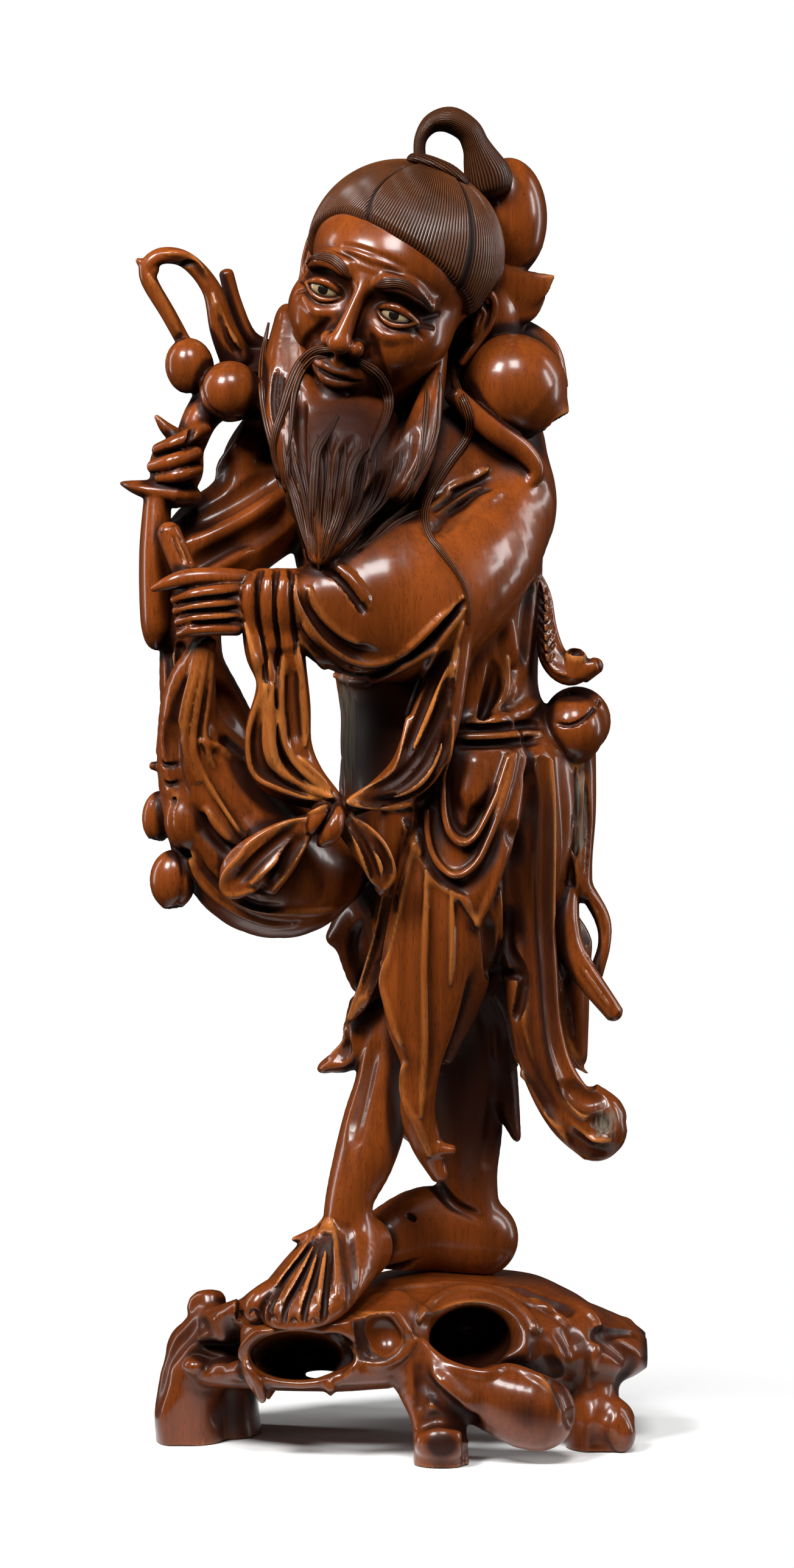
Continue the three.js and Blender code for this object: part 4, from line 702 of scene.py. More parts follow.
# The legs and feet
# Bare shins and feet, with sinews that fan to the toes. The soles are flat where they meet the stand.
body.limb([[25, 132, 5, 13, 14], [26, 112, 7, 11, 12], [26.5, 94, 9, 10, 11], [26, 80, 11, 9, 10], [26, 66, 12, 10, 10]],
          soft=2)
body.limb([[32, 60, 12, 8.6, 11], [26, 62, 11, 9.6, 13], [14, 63.4, 9, 10, 13.4], [3, 60, 4, 9.6, 11], [-6, 57, 0, 8, 7]],
          soft=2, facing=UP)
body.limb([[3, 130, -6, 9, 12], [0.4, 110, -11, 7.8, 11], [-1.8, 97, -14, 9.4, 10], [-5.2, 85, -17, 9.0, 9.4],
           [-9.4, 73, -19, 7.2, 8.6], [-9.8, 64, -19, 7.8, 9]], soft=2)
body.limb([[-4, 58, -13, 7, 9], [-9.4, 58, -18, 11, 11], [-16, 51, -26, 15, 9.4], [-22.8, 42.8, -34, 17, 6.6]], soft=2,
          facing=UP)
TOES = [
    ([-29, 47.4, -30], [-36.6, 42.4, -34], [-38.4, 38.6, -35], 4.2),
    ([-26.4, 45, -35], [-31, 40, -39], [-32.6, 36.8, -40], 2.7),
    ([-21.6, 44, -37], [-25.2, 39, -41.4], [-26.4, 35.8, -42.4], 2.7),
    ([-16.8, 44, -38], [-19.4, 39, -42], [-20.4, 35.8, -43], 2.6),
    ([-12.4, 45.4, -37], [-14.2, 41, -41], [-15, 37.8, -41.6], 2.6),
]
for heel, knuckle, tip, wide in TOES:
    body.limb([[*heel, wide, 3.4], [*knuckle, wide, 3.4], [*tip, wide * 0.94, 2.7]], soft=0.8, facing=UP)
for line in ([[-18, 66.4], [-21.4, 60], [-26.6, 52.6], [-31.6, 46.6]], [[-16.8, 67], [-19.4, 59], [-24.4, 50], [-29.4, 41.6]],
             [[-16.2, 67], [-17.8, 59], [-21, 49.6], [-24, 41]], [[-15.6, 67], [-16.2, 59], [-17.6, 50], [-18.8, 41]],
             [[-14.8, 66.4], [-13.8, 59], [-13.2, 51], [-13.6, 43]]):
    body.folds(1.0, 1.3, line, soft=1)
for line in ([[-18.6, 62], [-22.6, 56], [-27.6, 49.6], [-32.2, 42], [-34.8, 36.4]], [[-17.8, 62], [-20.4, 55], [-24.6, 46.6], [-28.2, 40], [-29.8, 35]],
             [[-16.8, 62], [-18.4, 54], [-20.8, 46], [-22.6, 39.6], [-23.5, 34.6]], [[-15.6, 62], [-15.8, 54], [-16.6, 46], [-17, 40], [-17.7, 35]]):
    body.cuts(1.0, 2.0, line, soft=0.8)
body.cuts(1.8, 1.6, [[-10.6, 64], [-9.6, 56], [-8.6, 48], [-8.6, 41]], soft=1.6)
body.cuts(0.5, 0.7, [[-40, 37.4], [-38.4, 39.4], [-36.4, 37.4]], [[-33.8, 36], [-32.6, 37.6], [-31.4, 36]], [[-27.6, 35.2], [-26.4, 36.8], [-25.2, 35.2]],
          [[-21.6, 35.2], [-20.4, 36.8], [-19.2, 35.2]], soft=0.4, ends=0.6)
body.limb([[-20, 61.6, -21, 2.4, 3], [-26.4, 60.6, -21, 0.6, 1.4]], soft=1.6)
body.cuts(2.2, 1.2, [[-3, 118], [-6, 104], [-9, 92]], [[34.4, 112], [34, 98], [33, 84]], soft=2.4)
body.cuts(0.9, 1.2, [[8.6, 67.6], [9.6, 66.8]], soft=0.5, ends=1)
body.cuts(1.4, 1.4, [[16, 78], [22, 71], [30, 67]], soft=1.6)
FRONT_SOLE = seen(-14, 42.2, -26)
REAR_SOLE = seen(19, 50.6, 4)
FRONT_TILT = np.array([0.16, 0.21, -1])
REAR_TILT = np.array([-0.1, 0, -1])
body.planed(FRONT_SOLE, FRONT_TILT, [-46, -60, 20], [14, -2, 62])
body.planed(REAR_SOLE, REAR_TILT, [-14, -14, 30], [52, 36, 60])

# The head
# Carved on its own finer grid, in a frame that turns and tilts with it, then set on the neck. The face is a calm one
# of even proportions: eyes half way up, the nose a third of the way down from the brow, and a closed mouth.
TILT = Matrix.Rotation(radians(20), 3, "Y") @ Matrix.Rotation(radians(-16), 3, "Z") @ Matrix.Rotation(radians(12), 3, "X")
HEAD_TURN = np.array(TILT)
HEAD_MIDDLE = seen(3.0, 346.0, -8.0)


def upright(x, z, y):
    """A place in the head's own frame: x to the right across the face, z up to the crown, y back."""
    return np.stack(np.broadcast_arrays(np.asarray(x, float), y, z), -1)


head = Clay((-35, -45, -46), (35, 40, 40), 0.36)


def both(stations):
    """The same row of stations on each side of the face."""
    rows = np.array(stations, float)
    return rows, rows * np.array([-1] + [1] * (rows.shape[1] - 1))


def shaped(x, z, y, half, soft=4.0, cut=False):
    """An ellipsoid on each side of the face, or one in the middle where x is 0."""
    for side in ((1, -1) if x else (1,)):
        head.ball(side * x, z, y, half, soft=soft, cut=cut, place=upright)


def modelled(stations, soft=1.2, cut=False):
    """An oval stroke on each side of the face."""
    for rows in both(stations):
        head.limb(rows, soft=soft, cut=cut, place=upright)


shaped(0, 10, 4, [27, 29, 26])
shaped(0, -11, -7, [22.6, 22.4, 26], soft=5)
shaped(0, -27, -9, [15, 17, 11], soft=5)
shaped(0, 10, -12.5, [20.5, 16, 12], soft=5)
shaped(13.4, -11.4, -18.4, [7.6, 8.4, 7.6], soft=7)
shaped(18.2, -7.6, -12, [5.4, 8.4, 6.4], soft=7)
modelled([[3.4, 4.6, -26, 2, 2.6], [8, 6.2, -26.4, 2.4, 3], [13.4, 6.2, -24.4, 2.4, 3], [18.6, 3.4, -19.6, 2, 3]], soft=3)
shaped(10.8, -0.8, -31.2, [7.4, 4.2, 4.6], soft=3, cut=True)
shaped(5.0, 0.4, -31.4, [2.6, 4.4, 4], soft=2.4, cut=True)
modelled([[5.4, -1.8, -25.6, 0.8, 1], [8.2, 0.2, -27.3, 1.1, 1.4], [11.5, 0.9, -27.9, 1.3, 1.5], [14.8, 0.1, -26.9, 1.1, 1.4],
          [17.6, -1.8, -24, 0.8, 1.2]], soft=0.8)
modelled([[5.6, -2.2, -25.6, 0.7, 1], [8.4, -3.7, -26.9, 0.9, 1.3], [11.6, -4.4, -27.2, 1, 1.3], [14.8, -3.7, -26.2, 0.9, 1.3],
          [17.6, -2.2, -24, 0.8, 1.2]], soft=0.8)
modelled([[6.6, -6.8, -26.8, 1, 1.2], [11.4, -8.2, -27.8, 1.6, 1.6], [16.4, -6.6, -24.6, 1, 1.4]], soft=2.2)
head.limb([[0, 5, -26.4, 2.6, 2.6], [0, 0, -28.6, 2.1, 3.2], [0, -6, -31.2, 2.2, 3.6], [0, -11, -33.6, 2.8, 3.6],
           [0, -13.6, -34.6, 3.4, 3.4]], soft=2.2, place=upright)
shaped(0, -13.4, -34.8, [3.5, 3.4, 3.2], soft=1.2)
shaped(4.3, -14.0, -31.4, [2.7, 3.4, 2.6], soft=1.0)
head.limb([[0, -15.6, -34, 0.9, 1.6], [0, -18.4, -31, 1, 1.6]], soft=0.8, place=upright)
shaped(2.3, -16.4, -33.2, [1.2, 1.9, 1.1], soft=0.5, cut=True)
head.cuts(0.8, 0.7, *both([[6.8, -9.6], [8.2, -12.6], [8.2, -15.8], [6.6, -17.4]]), view="local", soft=0.8)
head.cuts(1.5, 0.8, *both([[8.6, -13.4], [11.2, -17.4], [13, -21.6], [13.6, -26]]), view="local", soft=2.0)
shaped(0, -21.6, -26.2, [9.4, 5.6, 6], soft=3)
head.limb([[-7.4, -23.0, -27.6, 0.6, 1], [-3.6, -21.9, -30.6, 1.2, 1.5], [0, -22.3, -31.2, 1.1, 1.5], [3.6, -21.9, -30.6, 1.2, 1.5],
           [7.4, -23.0, -27.6, 0.6, 1]], soft=0.8, place=upright)
head.limb([[-6.4, -24.6, -27.6, 0.7, 1], [-3, -25.6, -30, 1.4, 1.5], [0, -25.8, -30.6, 1.6, 1.6], [3, -25.6, -30, 1.4, 1.5],
           [6.4, -24.6, -27.6, 0.7, 1]], soft=0.8, place=upright)
head.cuts(0.5, 0.9, [[-8, -23.3], [-4, -23.7], [0, -24.1], [4, -23.7], [8, -23.3]], view="local", soft=0.4)
head.cuts(1.2, 0.7, [[-5, -28.6], [0, -29.2], [5, -28.6]], view="local", soft=1.6)
shaped(0, -33, -22.5, [8, 8, 5.6], soft=4)
for line in ([[-13, 9.6], [-6, 10.8], [0, 10.5], [6, 10.8], [13, 9.6]], [[-10, 13], [-4, 13.9], [4, 13.9], [10, 13]]):
    head.cuts(0.9, 0.35, line, view="local", soft=1.0)
head.cuts(0.6, 0.25, *both([[18.4, -0.6], [21, 1]]), *both([[18.6, -2.6], [21.6, -2.8]]), *both([[18.2, -4.4], [20.8, -6]]),
          view="local", soft=0.6)
head.cuts(0.7, 0.5, *both([[6.6, 3.0], [11.4, 4.2], [16.8, 2]]), view="local", soft=0.8)
head.folds(1.6, 0.6, *both([[4.4, 6.2], [8.6, 8.0], [13.4, 7.8], [18.4, 4.4]]), view="local", soft=2.4, ends=0.35)
modelled([[25.6, 5.4, 3.6, 1.1, 1.6], [28.2, 7.6, 4.6, 1.3, 1.6], [30, 5, 6.4, 1.3, 1.6], [30.2, -1, 7, 1.3, 1.6],
          [29, -6.4, 5.6, 1.2, 1.6], [27.8, -10.8, 3.6, 1.5, 2], [26.8, -14.4, 2.6, 1.5, 2.2]], soft=0.8)
shaped(26.8, -1.4, 5.4, [2.4, 3.4, 6.6], soft=1.6)
shaped(29.8, -0.6, 2.6, [1.8, 2.6, 3.8], soft=0.8, cut=True)
modelled([[27.2, 3.4, 3, 0.7, 1], [28.6, 1.4, 4.6, 0.7, 1], [28.4, -3, 4.4, 0.8, 1]], soft=0.6)
head.limb([[0, -22, 6, 16, 15], [0, -36, 9, 14, 14], [0, -42, 11, 12, 12]], soft=5, place=upright)

# The hair
# Combed up from the hairline all round to a knot on the crown, in three laps, and cut into fine strands.
CROWN_HALF = np.array([28.4, 30.6, 28])
CROWN_MIDDLE = np.array([0, 4, 10.0])
HAIRLINE = np.array([[-180, -18], [-145, -15], [-128, -8], [-116, 2], [-104, 9.4], [-92, 9.4], [-82, 5], [-76, 1], [-66, 9],
                     [-52, 15.4], [-36, 20], [-9, 21], [16, 18.6], [37, 14.4], [54, 9.6], [66, 5.4], [76, 0], [82, 5],
                     [92, 9.4], [104, 9.4], [116, 2], [128, -8], [145, -15], [180, -18]], float)


def as_form(grid, hollow, wear_and_highlight):
    """A tube of rings closed by a point at each end, from a grid of places [ring, round, xyz]; slopes from its faces."""
    rings, turns = grid.shape[:2]
    places = np.vstack([grid.reshape(-1, 3), grid[0].mean(0), grid[-1].mean(0)])
    k = np.arange(rings * turns).reshape(rings, turns)
    a, b = k[:-1], k[1:]
    an, bn = np.roll(a, -1, 1), np.roll(b, -1, 1)
    first, last = rings * turns, rings * turns + 1
    faces = np.vstack([
        np.stack([a, an, bn], -1).reshape(-1, 3), np.stack([a, bn, b], -1).reshape(-1, 3),
        np.stack([np.full(turns, first), np.roll(k[0], -1), k[0]], -1),
        np.stack([np.full(turns, last), k[-1], np.roll(k[-1], -1)], -1)])
    normal = np.cross(places[faces[:, 1]] - places[faces[:, 0]], places[faces[:, 2]] - places[faces[:, 0]])
    if np.einsum("ij,ij->i", places[faces[:, 0]] - places.mean(0), normal).sum() < 0:
        faces, normal = faces[:, ::-1], -normal
    slopes = np.zeros_like(places)
    for c in range(3):
        np.add.at(slopes, faces[:, c], normal)
    slopes /= np.linalg.norm(slopes, axis=1, keepdims=True) + 1e-12
    tips = np.zeros(2)
    return {"places": places, "faces": faces, "slopes": slopes,
            "hollow": np.concatenate([hollow.ravel(), tips]), "wear_and_highlight": np.concatenate([wear_and_highlight.ravel(), tips]),
            "sheltered": np.zeros(len(places))}


def in_place(form):
    """A form made in the head's own frame, turned and set on the neck."""
    return form | {"places": form["places"] @ HEAD_TURN.T + HEAD_MIDDLE, "slopes": form["slopes"] @ HEAD_TURN.T}


def combed():
    """The cap of hair: rows of great arcs on an ellipsoid, from the hairline to a ring round the crown.

    Its thickness rises at once from the hairline, steps where one lap of hair lies over the next, and is rippled by a
    cosine across the strands.
    """
    strands = 176
    across = np.linspace(-pi, pi, 4 * strands, endpoint=False)
    line = along(HAIRLINE, 3)
    height = np.interp(across, np.radians(line[:, 0]), line[:, 1])
    rise = np.arcsin((height - CROWN_MIDDLE[2]) / CROWN_HALF[2])
    start = np.stack([np.sin(across) * np.cos(rise), -np.cos(across) * np.cos(rise), np.sin(rise)], -1)
    knot = np.array([0.0, 0.13, 1.0])
    knot /= np.linalg.norm(knot)
    angle = np.arccos(np.clip(start @ knot, -1, 1))
    out = start - (start @ knot)[:, None] * knot
    out /= np.linalg.norm(out, axis=1, keepdims=True)
    t = np.concatenate([[0, 0, 0.012, 0.03, 0.06], np.linspace(0.1, 1, 30)])
    turn = angle + (0.26 - angle) * t[:, None]
    swing = 0.16 * np.sin(pi * t)[:, None] * np.exp(-(((across + 0.9) / 0.7) ** 2))
    beside = np.cross(knot, out)
    bearing = np.cos(swing)[..., None] * out + np.sin(swing)[..., None] * beside
    unit = np.cos(turn)[..., None] * knot + np.sin(turn)[..., None] * bearing
    normal = unit / CROWN_HALF
    normal /= np.linalg.norm(normal, axis=-1, keepdims=True)
    lap_left = across + 0.2 + 0.24 * np.sin(pi * t)[:, None]
    lap_right = across - 0.98
    lapped = np.clip(lap_left / 0.05, 0, 1) * (0.4 + 0.6 * np.clip(-lap_right / 0.05, 0, 1))
    crease = np.exp(-((lap_right / 0.035) ** 2)) + 0.6 * np.exp(-(((lap_left + 0.02) / 0.03) ** 2))
    ripple = 1 - (0.5 + 0.5 * np.cos(strands * across)) ** 2
    edge = np.sqrt(np.clip(t / 0.06, 0, 1))[:, None]
    calm = 1 - 0.45 * np.exp(-(((across + 1.5) / 0.5) ** 2))
    thick = -1.6 + edge * (2.0 + 0.75 * lapped + 0.5 * np.sin(pi * np.clip(t, 0, 1))[:, None] - 0.8 * crease
                           + 0.4 * calm * (ripple - 0.6))
    thick[0] -= 4
    grid = CROWN_MIDDLE + unit * CROWN_HALF + normal * thick[..., None]
    # Grooves between strands and creases between laps are painted dark as dust and painted shade; strand tops paler as
    # wear and a painted highlight.
    deep = np.clip((1 - ripple) * 0.7 + crease * 0.8, 0, 1) * edge
    return in_place(as_form(grid, deep, 0.35 * (1 - deep) * edge))


def rope(stations, strands, pace=1.0, twist=0.0, depth=0.24, columns=4):
    """Hair bound in a thick band: an oval carried along a curve through [x, z, y, w, d], grooved between strands."""
    s = np.asarray(stations, float)
    rows = along(np.hstack([seen(s[:, 0], s[:, 1], s[:, 2]), s[:, 3:]]), pace)
    ahead = np.gradient(rows[:, :3], axis=0)
    ahead /= np.linalg.norm(ahead, axis=1, keepdims=True)
    side = np.cross(ahead, BACK)
    side /= np.linalg.norm(side, axis=1, keepdims=True)
    inward = np.cross(side, ahead)
    count = columns * strands
    turn = np.linspace(0, 2 * pi, count, endpoint=False)
    t = np.linspace(0, 1, len(rows))
    ripple = 0.5 - 0.5 * np.cos(strands * (turn + twist * t[:, None]))
    swell = np.sqrt(np.clip(np.minimum(t, 1 - t) * len(rows) / 2.5, 0, 1))[:, None]
    wide = (rows[:, 3:4] + depth * (ripple - 1)) * swell
    thick = (rows[:, 4:5] + depth * (ripple - 1)) * swell
    grid = (rows[:, None, :3] + side[:, None] * (wide * np.cos(turn))[..., None]
            + inward[:, None] * (thick * np.sin(turn))[..., None])
    # Grooves between strands are painted dark as dust and painted shade; strand tops paler as wear and a painted
    # highlight.
    return as_form(grid, 0.8 * (1 - ripple) + 0 * wide, 0.5 * ripple + 0 * wide)


hair = [combed()]
hair.append(rope([[12.8, 379, -8, 2.4, 6.4], [11.6, 385, -8, 1.9, 7], [11.9, 390.6, -8, 2.0, 7.4], [15.2, 395, -7.4, 3.0, 7.8],
                  [20.6, 396, -7, 4.0, 8], [25.8, 393, -6, 4.0, 8], [28.2, 388.6, -5, 4.2, 8], [30, 384, -4.6, 5.8, 7.8],
                  [31.6, 379.6, -4.4, 7.2, 7.4], [32.4, 375.8, -4.4, 6.8, 6.4], [33, 372.6, -4.4, 3.6, 4]], 44, columns=3))
hair.append(rope([[7.6, 384.4, -9, 1.6, 6], [11, 384, -9.5, 2.4, 8.4], [16, 382.4, -9.5, 2.6, 9.6], [21, 380, -9, 2.6, 9.4],
                  [26, 376.4, -8, 1.8, 7]], 18, columns=4, twist=1.6, depth=0.4))

# The eyes
# Two pale inlays of bone or horn set between the lids, each with a dark dot for the pupil.
EYE_HALF = np.array([4.6, 2.2, 2.4])


def lens(side):
    """An inlay as a form: an ellipsoid of rings round the eye's place, its slopes from its faces."""
    turn, rise = np.meshgrid(np.linspace(0, 2 * pi, 48, endpoint=False), np.linspace(-1.45, 1.45, 25), indexing="xy")
    ball = np.stack([np.cos(rise) * np.cos(turn), np.cos(rise) * np.sin(turn), np.sin(rise)], -1)
    even = np.zeros(turn.shape)
    return in_place(as_form(upright(11.5 * side, -1.5, -26) + ball * EYE_HALF, even, even))


# The stand
# A gnarled root, hollowed, pierced and polished like the figure. It stands on five stubs, sawn flat below.
low, high = (np.array(corner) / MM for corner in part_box("root_base"))
root = Clay(low - 4, high + 4, figure_step)
root.limb([[-46, 31, 8, 9, 20], [-26, 33, 6, 10, 32], [0, 34, 8, 15, 42], [25, 35, 8, 16, 42], [48, 31, 6, 13, 34],
           [61, 29, 4, 8, 20]], soft=4)
root.limb([[-49, 33, -14, 7, 9], [-38, 37, -22, 6, 9], [-28, 31, -31, 8, 11], [-12, 34, -34, 9, 11], [5, 36, -28, 9, 10]], soft=4)
root.ball(-52, 35, -2, [6, 10, 9.4], lean=10, soft=3)
root.ball(-60.4, 25.6, 8, [4, 5, 5.6], lean=-20, soft=1.6)
root.ball(1, 32, -36, [9, 9, 9.4], soft=3)
root.ball(60, 30, -10, [7.4, 12, 9.4], lean=-14, soft=4)
root.ball(-31, 43, 14, [9, 12, 5], lean=-12, soft=5)
root.ball(44, 44, 14, [12, 12, 5.4], lean=22, soft=3)
root.ball(56, 36, 4, [10, 12, 6], lean=26, soft=3)
root.limb([[-37, 31, -32, 5.4, 6], [-38.4, 22, -34, 3.4, 4], [-36.4, 15, -35, 2.2, 2.6], [-35.8, 11.6, -35, 1, 1.4]], soft=2.4)
root.limb([[-38, 19, -34, 3, 3.4], [-29, 17.4, -37, 1.9, 2.8], [-20, 17.2, -39, 1.9, 2.8], [-10, 19.4, -39, 3, 4], [-2, 22, -38, 5.4, 6],
           [9, 24, -34, 7, 7]], soft=2.4)
root.limb([[-15.4, 17.6, -39, 3, 3], [-15.4, 14, -39.4, 2, 2.2], [-15, 12, -39.4, 1.2, 1.4]], soft=2)
root.limb([[64, 33, 10, 4, 5], [74, 34.6, 12, 2.3, 3]], soft=1)
root.limb([[66, 28, 8, 4.4, 5], [73.6, 29.4, 8, 3.6, 4.4]], soft=1)
root.limb([[-44, 21, -8, 5, 16], [-28, 20.4, -8, 5, 18], [-12, 20.4, -10, 5, 18], [2, 22, -12, 6, 16]], soft=3)
root.ball(2, -6, 4, [42, 34, 20], soft=2, cut=True)
root.ball(-14, 0, -40, [20, 16, 14.4], soft=2.4, cut=True)
root.limb([[-25.4, 25.4, -60, 14, 6.8], [-25.4, 25.4, -34, 13.6, 7], [-24, 25, -18, 11, 6], [-22, 24.4, -8, 6, 3]], soft=2,
          cut=True, facing=UP)
root.limb([[-18, 19.6, -34, 5.4, 1.2], [-18, 19.6, -10, 5, 1.2], [-18, 19.4, 50, 4.6, 1.1]], soft=0.8, cut=True, facing=UP)
root.ball(1, 31.6, -46, [6.6, 8, 7.4], lean=-12, soft=1.6, cut=True)
root.limb([[-54, 28, -2, 9, 12], [-57.4, 14, -2, 10, 12], [-57, -10, -1, 10.4, 12]], soft=4)
root.limb([[-44, 28, 10, 9, 15], [-46, 12, 12, 9, 15], [-44, -10, 12, 10, 15]], soft=3)
root.limb([[-58, 17, -10, 4, 4], [-63, 9, -8, 4.4, 6], [-63.6, 0, -7, 3, 6]], soft=4)
root.limb([[10, 30, -28, 12, 10], [14.4, 17, -36, 9.6, 9], [17.4, 5, -41, 8, 7.6], [18.4, -14, -43, 8.4, 7.6]], soft=3)
root.ball(18.4, -1, -46, [8.2, 6.4, 6.6], soft=1)
root.limb([[58, 32, -4, 10, 14], [63, 17, -9, 8, 12], [64.4, 6, -13, 9, 11], [66.4, -12, -15, 10, 10]], soft=4)
root.ball(68, 5, -18, [8.6, 9, 8], soft=2)
root.ball(72.4, 1.6, -22, [4.4, 5, 6], soft=1)
root.limb([[36, 32, 30, 11, 12], [42, 12, 36, 9.4, 10], [44, -12, 38, 9.6, 9.4]], soft=4)
root.limb([[6, 27, -30, 7, 8], [18, 20, -36, 9.4, 9], [33, 13, -40, 10, 9], [44, 8.8, -41, 11.6, 9.6], [49.6, 7.4, -41, 11, 9]], soft=2.4,
          end=0.34)
root.ball(29.4, 33, -42, [16.4, 22, 11.2], lean=-6, soft=1.4, cut=True)
root.ball(26, 30, -22, [13, 22, 9.4], lean=-6, soft=2, cut=True)
root.ball(38, 30, -42, [8, 15, 7.6], lean=-24, soft=2, cut=True)
root.ball(16, 35, -42, [6.4, 10, 5.4], lean=-40, soft=2, cut=True)
root.ball(-14, 27.4, -40, [6, 10, 5.6], lean=20, soft=1.6, cut=True)
root.ball(-42, 7, -15, [10, 12, 8.6], lean=14, soft=1.4, cut=True)
root.ball(-50, 27.4, -22, [9, 7, 2.2], soft=1.4, cut=True)
root.ball(-55.8, 22.2, -17, [4, 4.4, 2.9], lean=8, soft=1)
root.ball(-47.6, 21, -20, [3.5, 4.4, 2.7], lean=8, soft=1)
root.limb([[-60, 21, -8, 4, 4], [-51, 20, -16, 3, 4], [-41, 21, -28, 3.4, 4]], soft=3)

# Rims of the hollows, and the ridges and troughs of the roots
root.folds(1.1, 1.3, [[11.4, 36], [14, 40.4], [20, 44.4], [27, 45.8], [35, 44.4], [42, 40], [46.4, 34], [46.6, 28], [44.6, 23.4]],
           [[0, 44.4], [8, 46], [16, 46.6], [24, 47.6], [32, 47.4], [38, 44.8], [46, 40.4], [54, 38.4]], soft=1.8)
root.folds(1.4, 1.4, [[-5.6, 24.6], [-3.6, 22.8], [1.4, 22.6], [6, 25.2], [9.4, 29], [12, 29.4], [15, 26.4], [19.6, 23], [26, 20.6], [32, 19.8],
                      [38, 21.6], [45, 19.6], [51, 16.2], [54.6, 11.4], [53.6, 5]], soft=1.8)
root.folds(1.2, 1.4, [[-42.6, 24], [-41, 28.6], [-37, 32.2], [-33, 33]], [[-13, 32.4], [-9.4, 29.6], [-7, 26], [-7.4, 22.6], [-10.6, 19]],
           [[-41, 22.6], [-38, 18.6], [-36.4, 14], [-36, 12]], [[-15.4, 17], [-15.2, 13]], soft=1.6)
root.folds(1.5, 1.3, [[9.4, 30.4], [6.4, 34.6], [3, 38.6], [-2.6, 40.6]], [[60, 40], [64.6, 36], [65.4, 30], [63, 23], [62.4, 17]],
           [[56, 35], [50, 39.6], [44, 43]], [[36, 50], [42, 50], [46.4, 46.6]], soft=2)
root.folds(2.2, 1.6, [[16.6, 19], [21.6, 14], [28, 10]], [[-57, 39], [-54.6, 42.6], [-48, 43]], [[-50, 36], [-44, 39.4], [-38, 42]], soft=3)
root.cuts(3.0, 2.0, [[48.6, 31], [49, 26], [51, 20], [56, 14], [58.6, 6]], [[57, 32], [59.6, 25], [60.6, 18]], soft=3)
root.cuts(2.2, 1.7, [[26.6, 5], [26.4, -1], [26.6, -7]], [[11.6, 4.6], [17, 6.2], [24, 5]], [[12, 24], [12, 14], [11, 8]],
          [[13, 17], [20, 10.6], [27, 6]], soft=2)
root.cuts(2.6, 1.6, [[-56, 36], [-53, 30]], [[-46, 33], [-43, 29.6], [-43.6, 26]], [[40, 46.6], [47, 43.4], [55, 40]], [[68, 10], [65.6, 2], [66, -4]],
          soft=2.4)
root.cuts(1.6, 1.6, [[65, 31.8], [70, 32.2], [76, 32.4]], [[-6.6, 36], [-5.4, 30], [-5.4, 26]], soft=1.6)
root.cuts(2.6, 1.8, [[-28, 34], [-22, 26], [-20, 14]], [[6, 38], [8, 28], [4, 16]], [[30, 36], [30, 24], [36, 12]], [[58, 34], [56, 22], [60, 10]],
          [[-48, 36], [-50, 24], [-52, 10]], view="back", soft=3)
root.folds(2.2, 1.6, [[-36, 38], [-32, 26], [-34, 12]], [[-8, 40], [-6, 28], [-10, 18]], [[18, 40], [20, 28], [24, 14]], [[44, 38], [44, 24], [46, 8]],
           view="back", soft=3)
root.cuts(2.4, 1.6, [[-20, 34], [-14, 22], [-12, 10]], [[4, 34], [6, 24], [2, 14]], [[20, 36], [24, 22], [26, 8]], view="left", soft=3)
root.cuts(2.4, 1.5, [[-12, 36], [-8, 24], [-10, 12]], [[8, 34], [6, 22], [10, 10]], view="right", soft=3)
root.planed(FRONT_SOLE - 0.3 * UP, -FRONT_TILT, [-42, -52, 24], [10, -3, 62])
root.planed(REAR_SOLE - 0.3 * UP, -REAR_TILT, [-12, -16, 34], [50, 30, 62])
root.planed(0 * UP, -UP, [-90, -90, -10], [90, 90, 12])


# The wood
# Oiled and polished rosewood: red-brown with darker streaks along the log. Painted dark in the cuts and recesses, as
# old dirt and painted shade, and paler on the lips, as wear and a painted highlight.
class Value:
    """A shader socket that takes part in sums: each operator adds a Math node."""

    def __init__(self, finish, socket):
        self.finish = finish
        self.socket = socket

    def maths(self, operation, first, second):
        return self.finish.node("ShaderNodeMath", {"operation": operation}, {0: first, 1: second})

    def __add__(self, other):
        return self.maths("ADD", self, other)

    def __radd__(self, other):
        return self.maths("ADD", other, self)

    def __sub__(self, other):
        return self.maths("SUBTRACT", self, other)

    def __rsub__(self, other):
        return self.maths("SUBTRACT", other, self)

    def __mul__(self, other):
        return self.maths("MULTIPLY", self, other)

    def __rmul__(self, other):
        return self.maths("MULTIPLY", other, self)

    def __pow__(self, other):
        return self.maths("POWER", self, other)


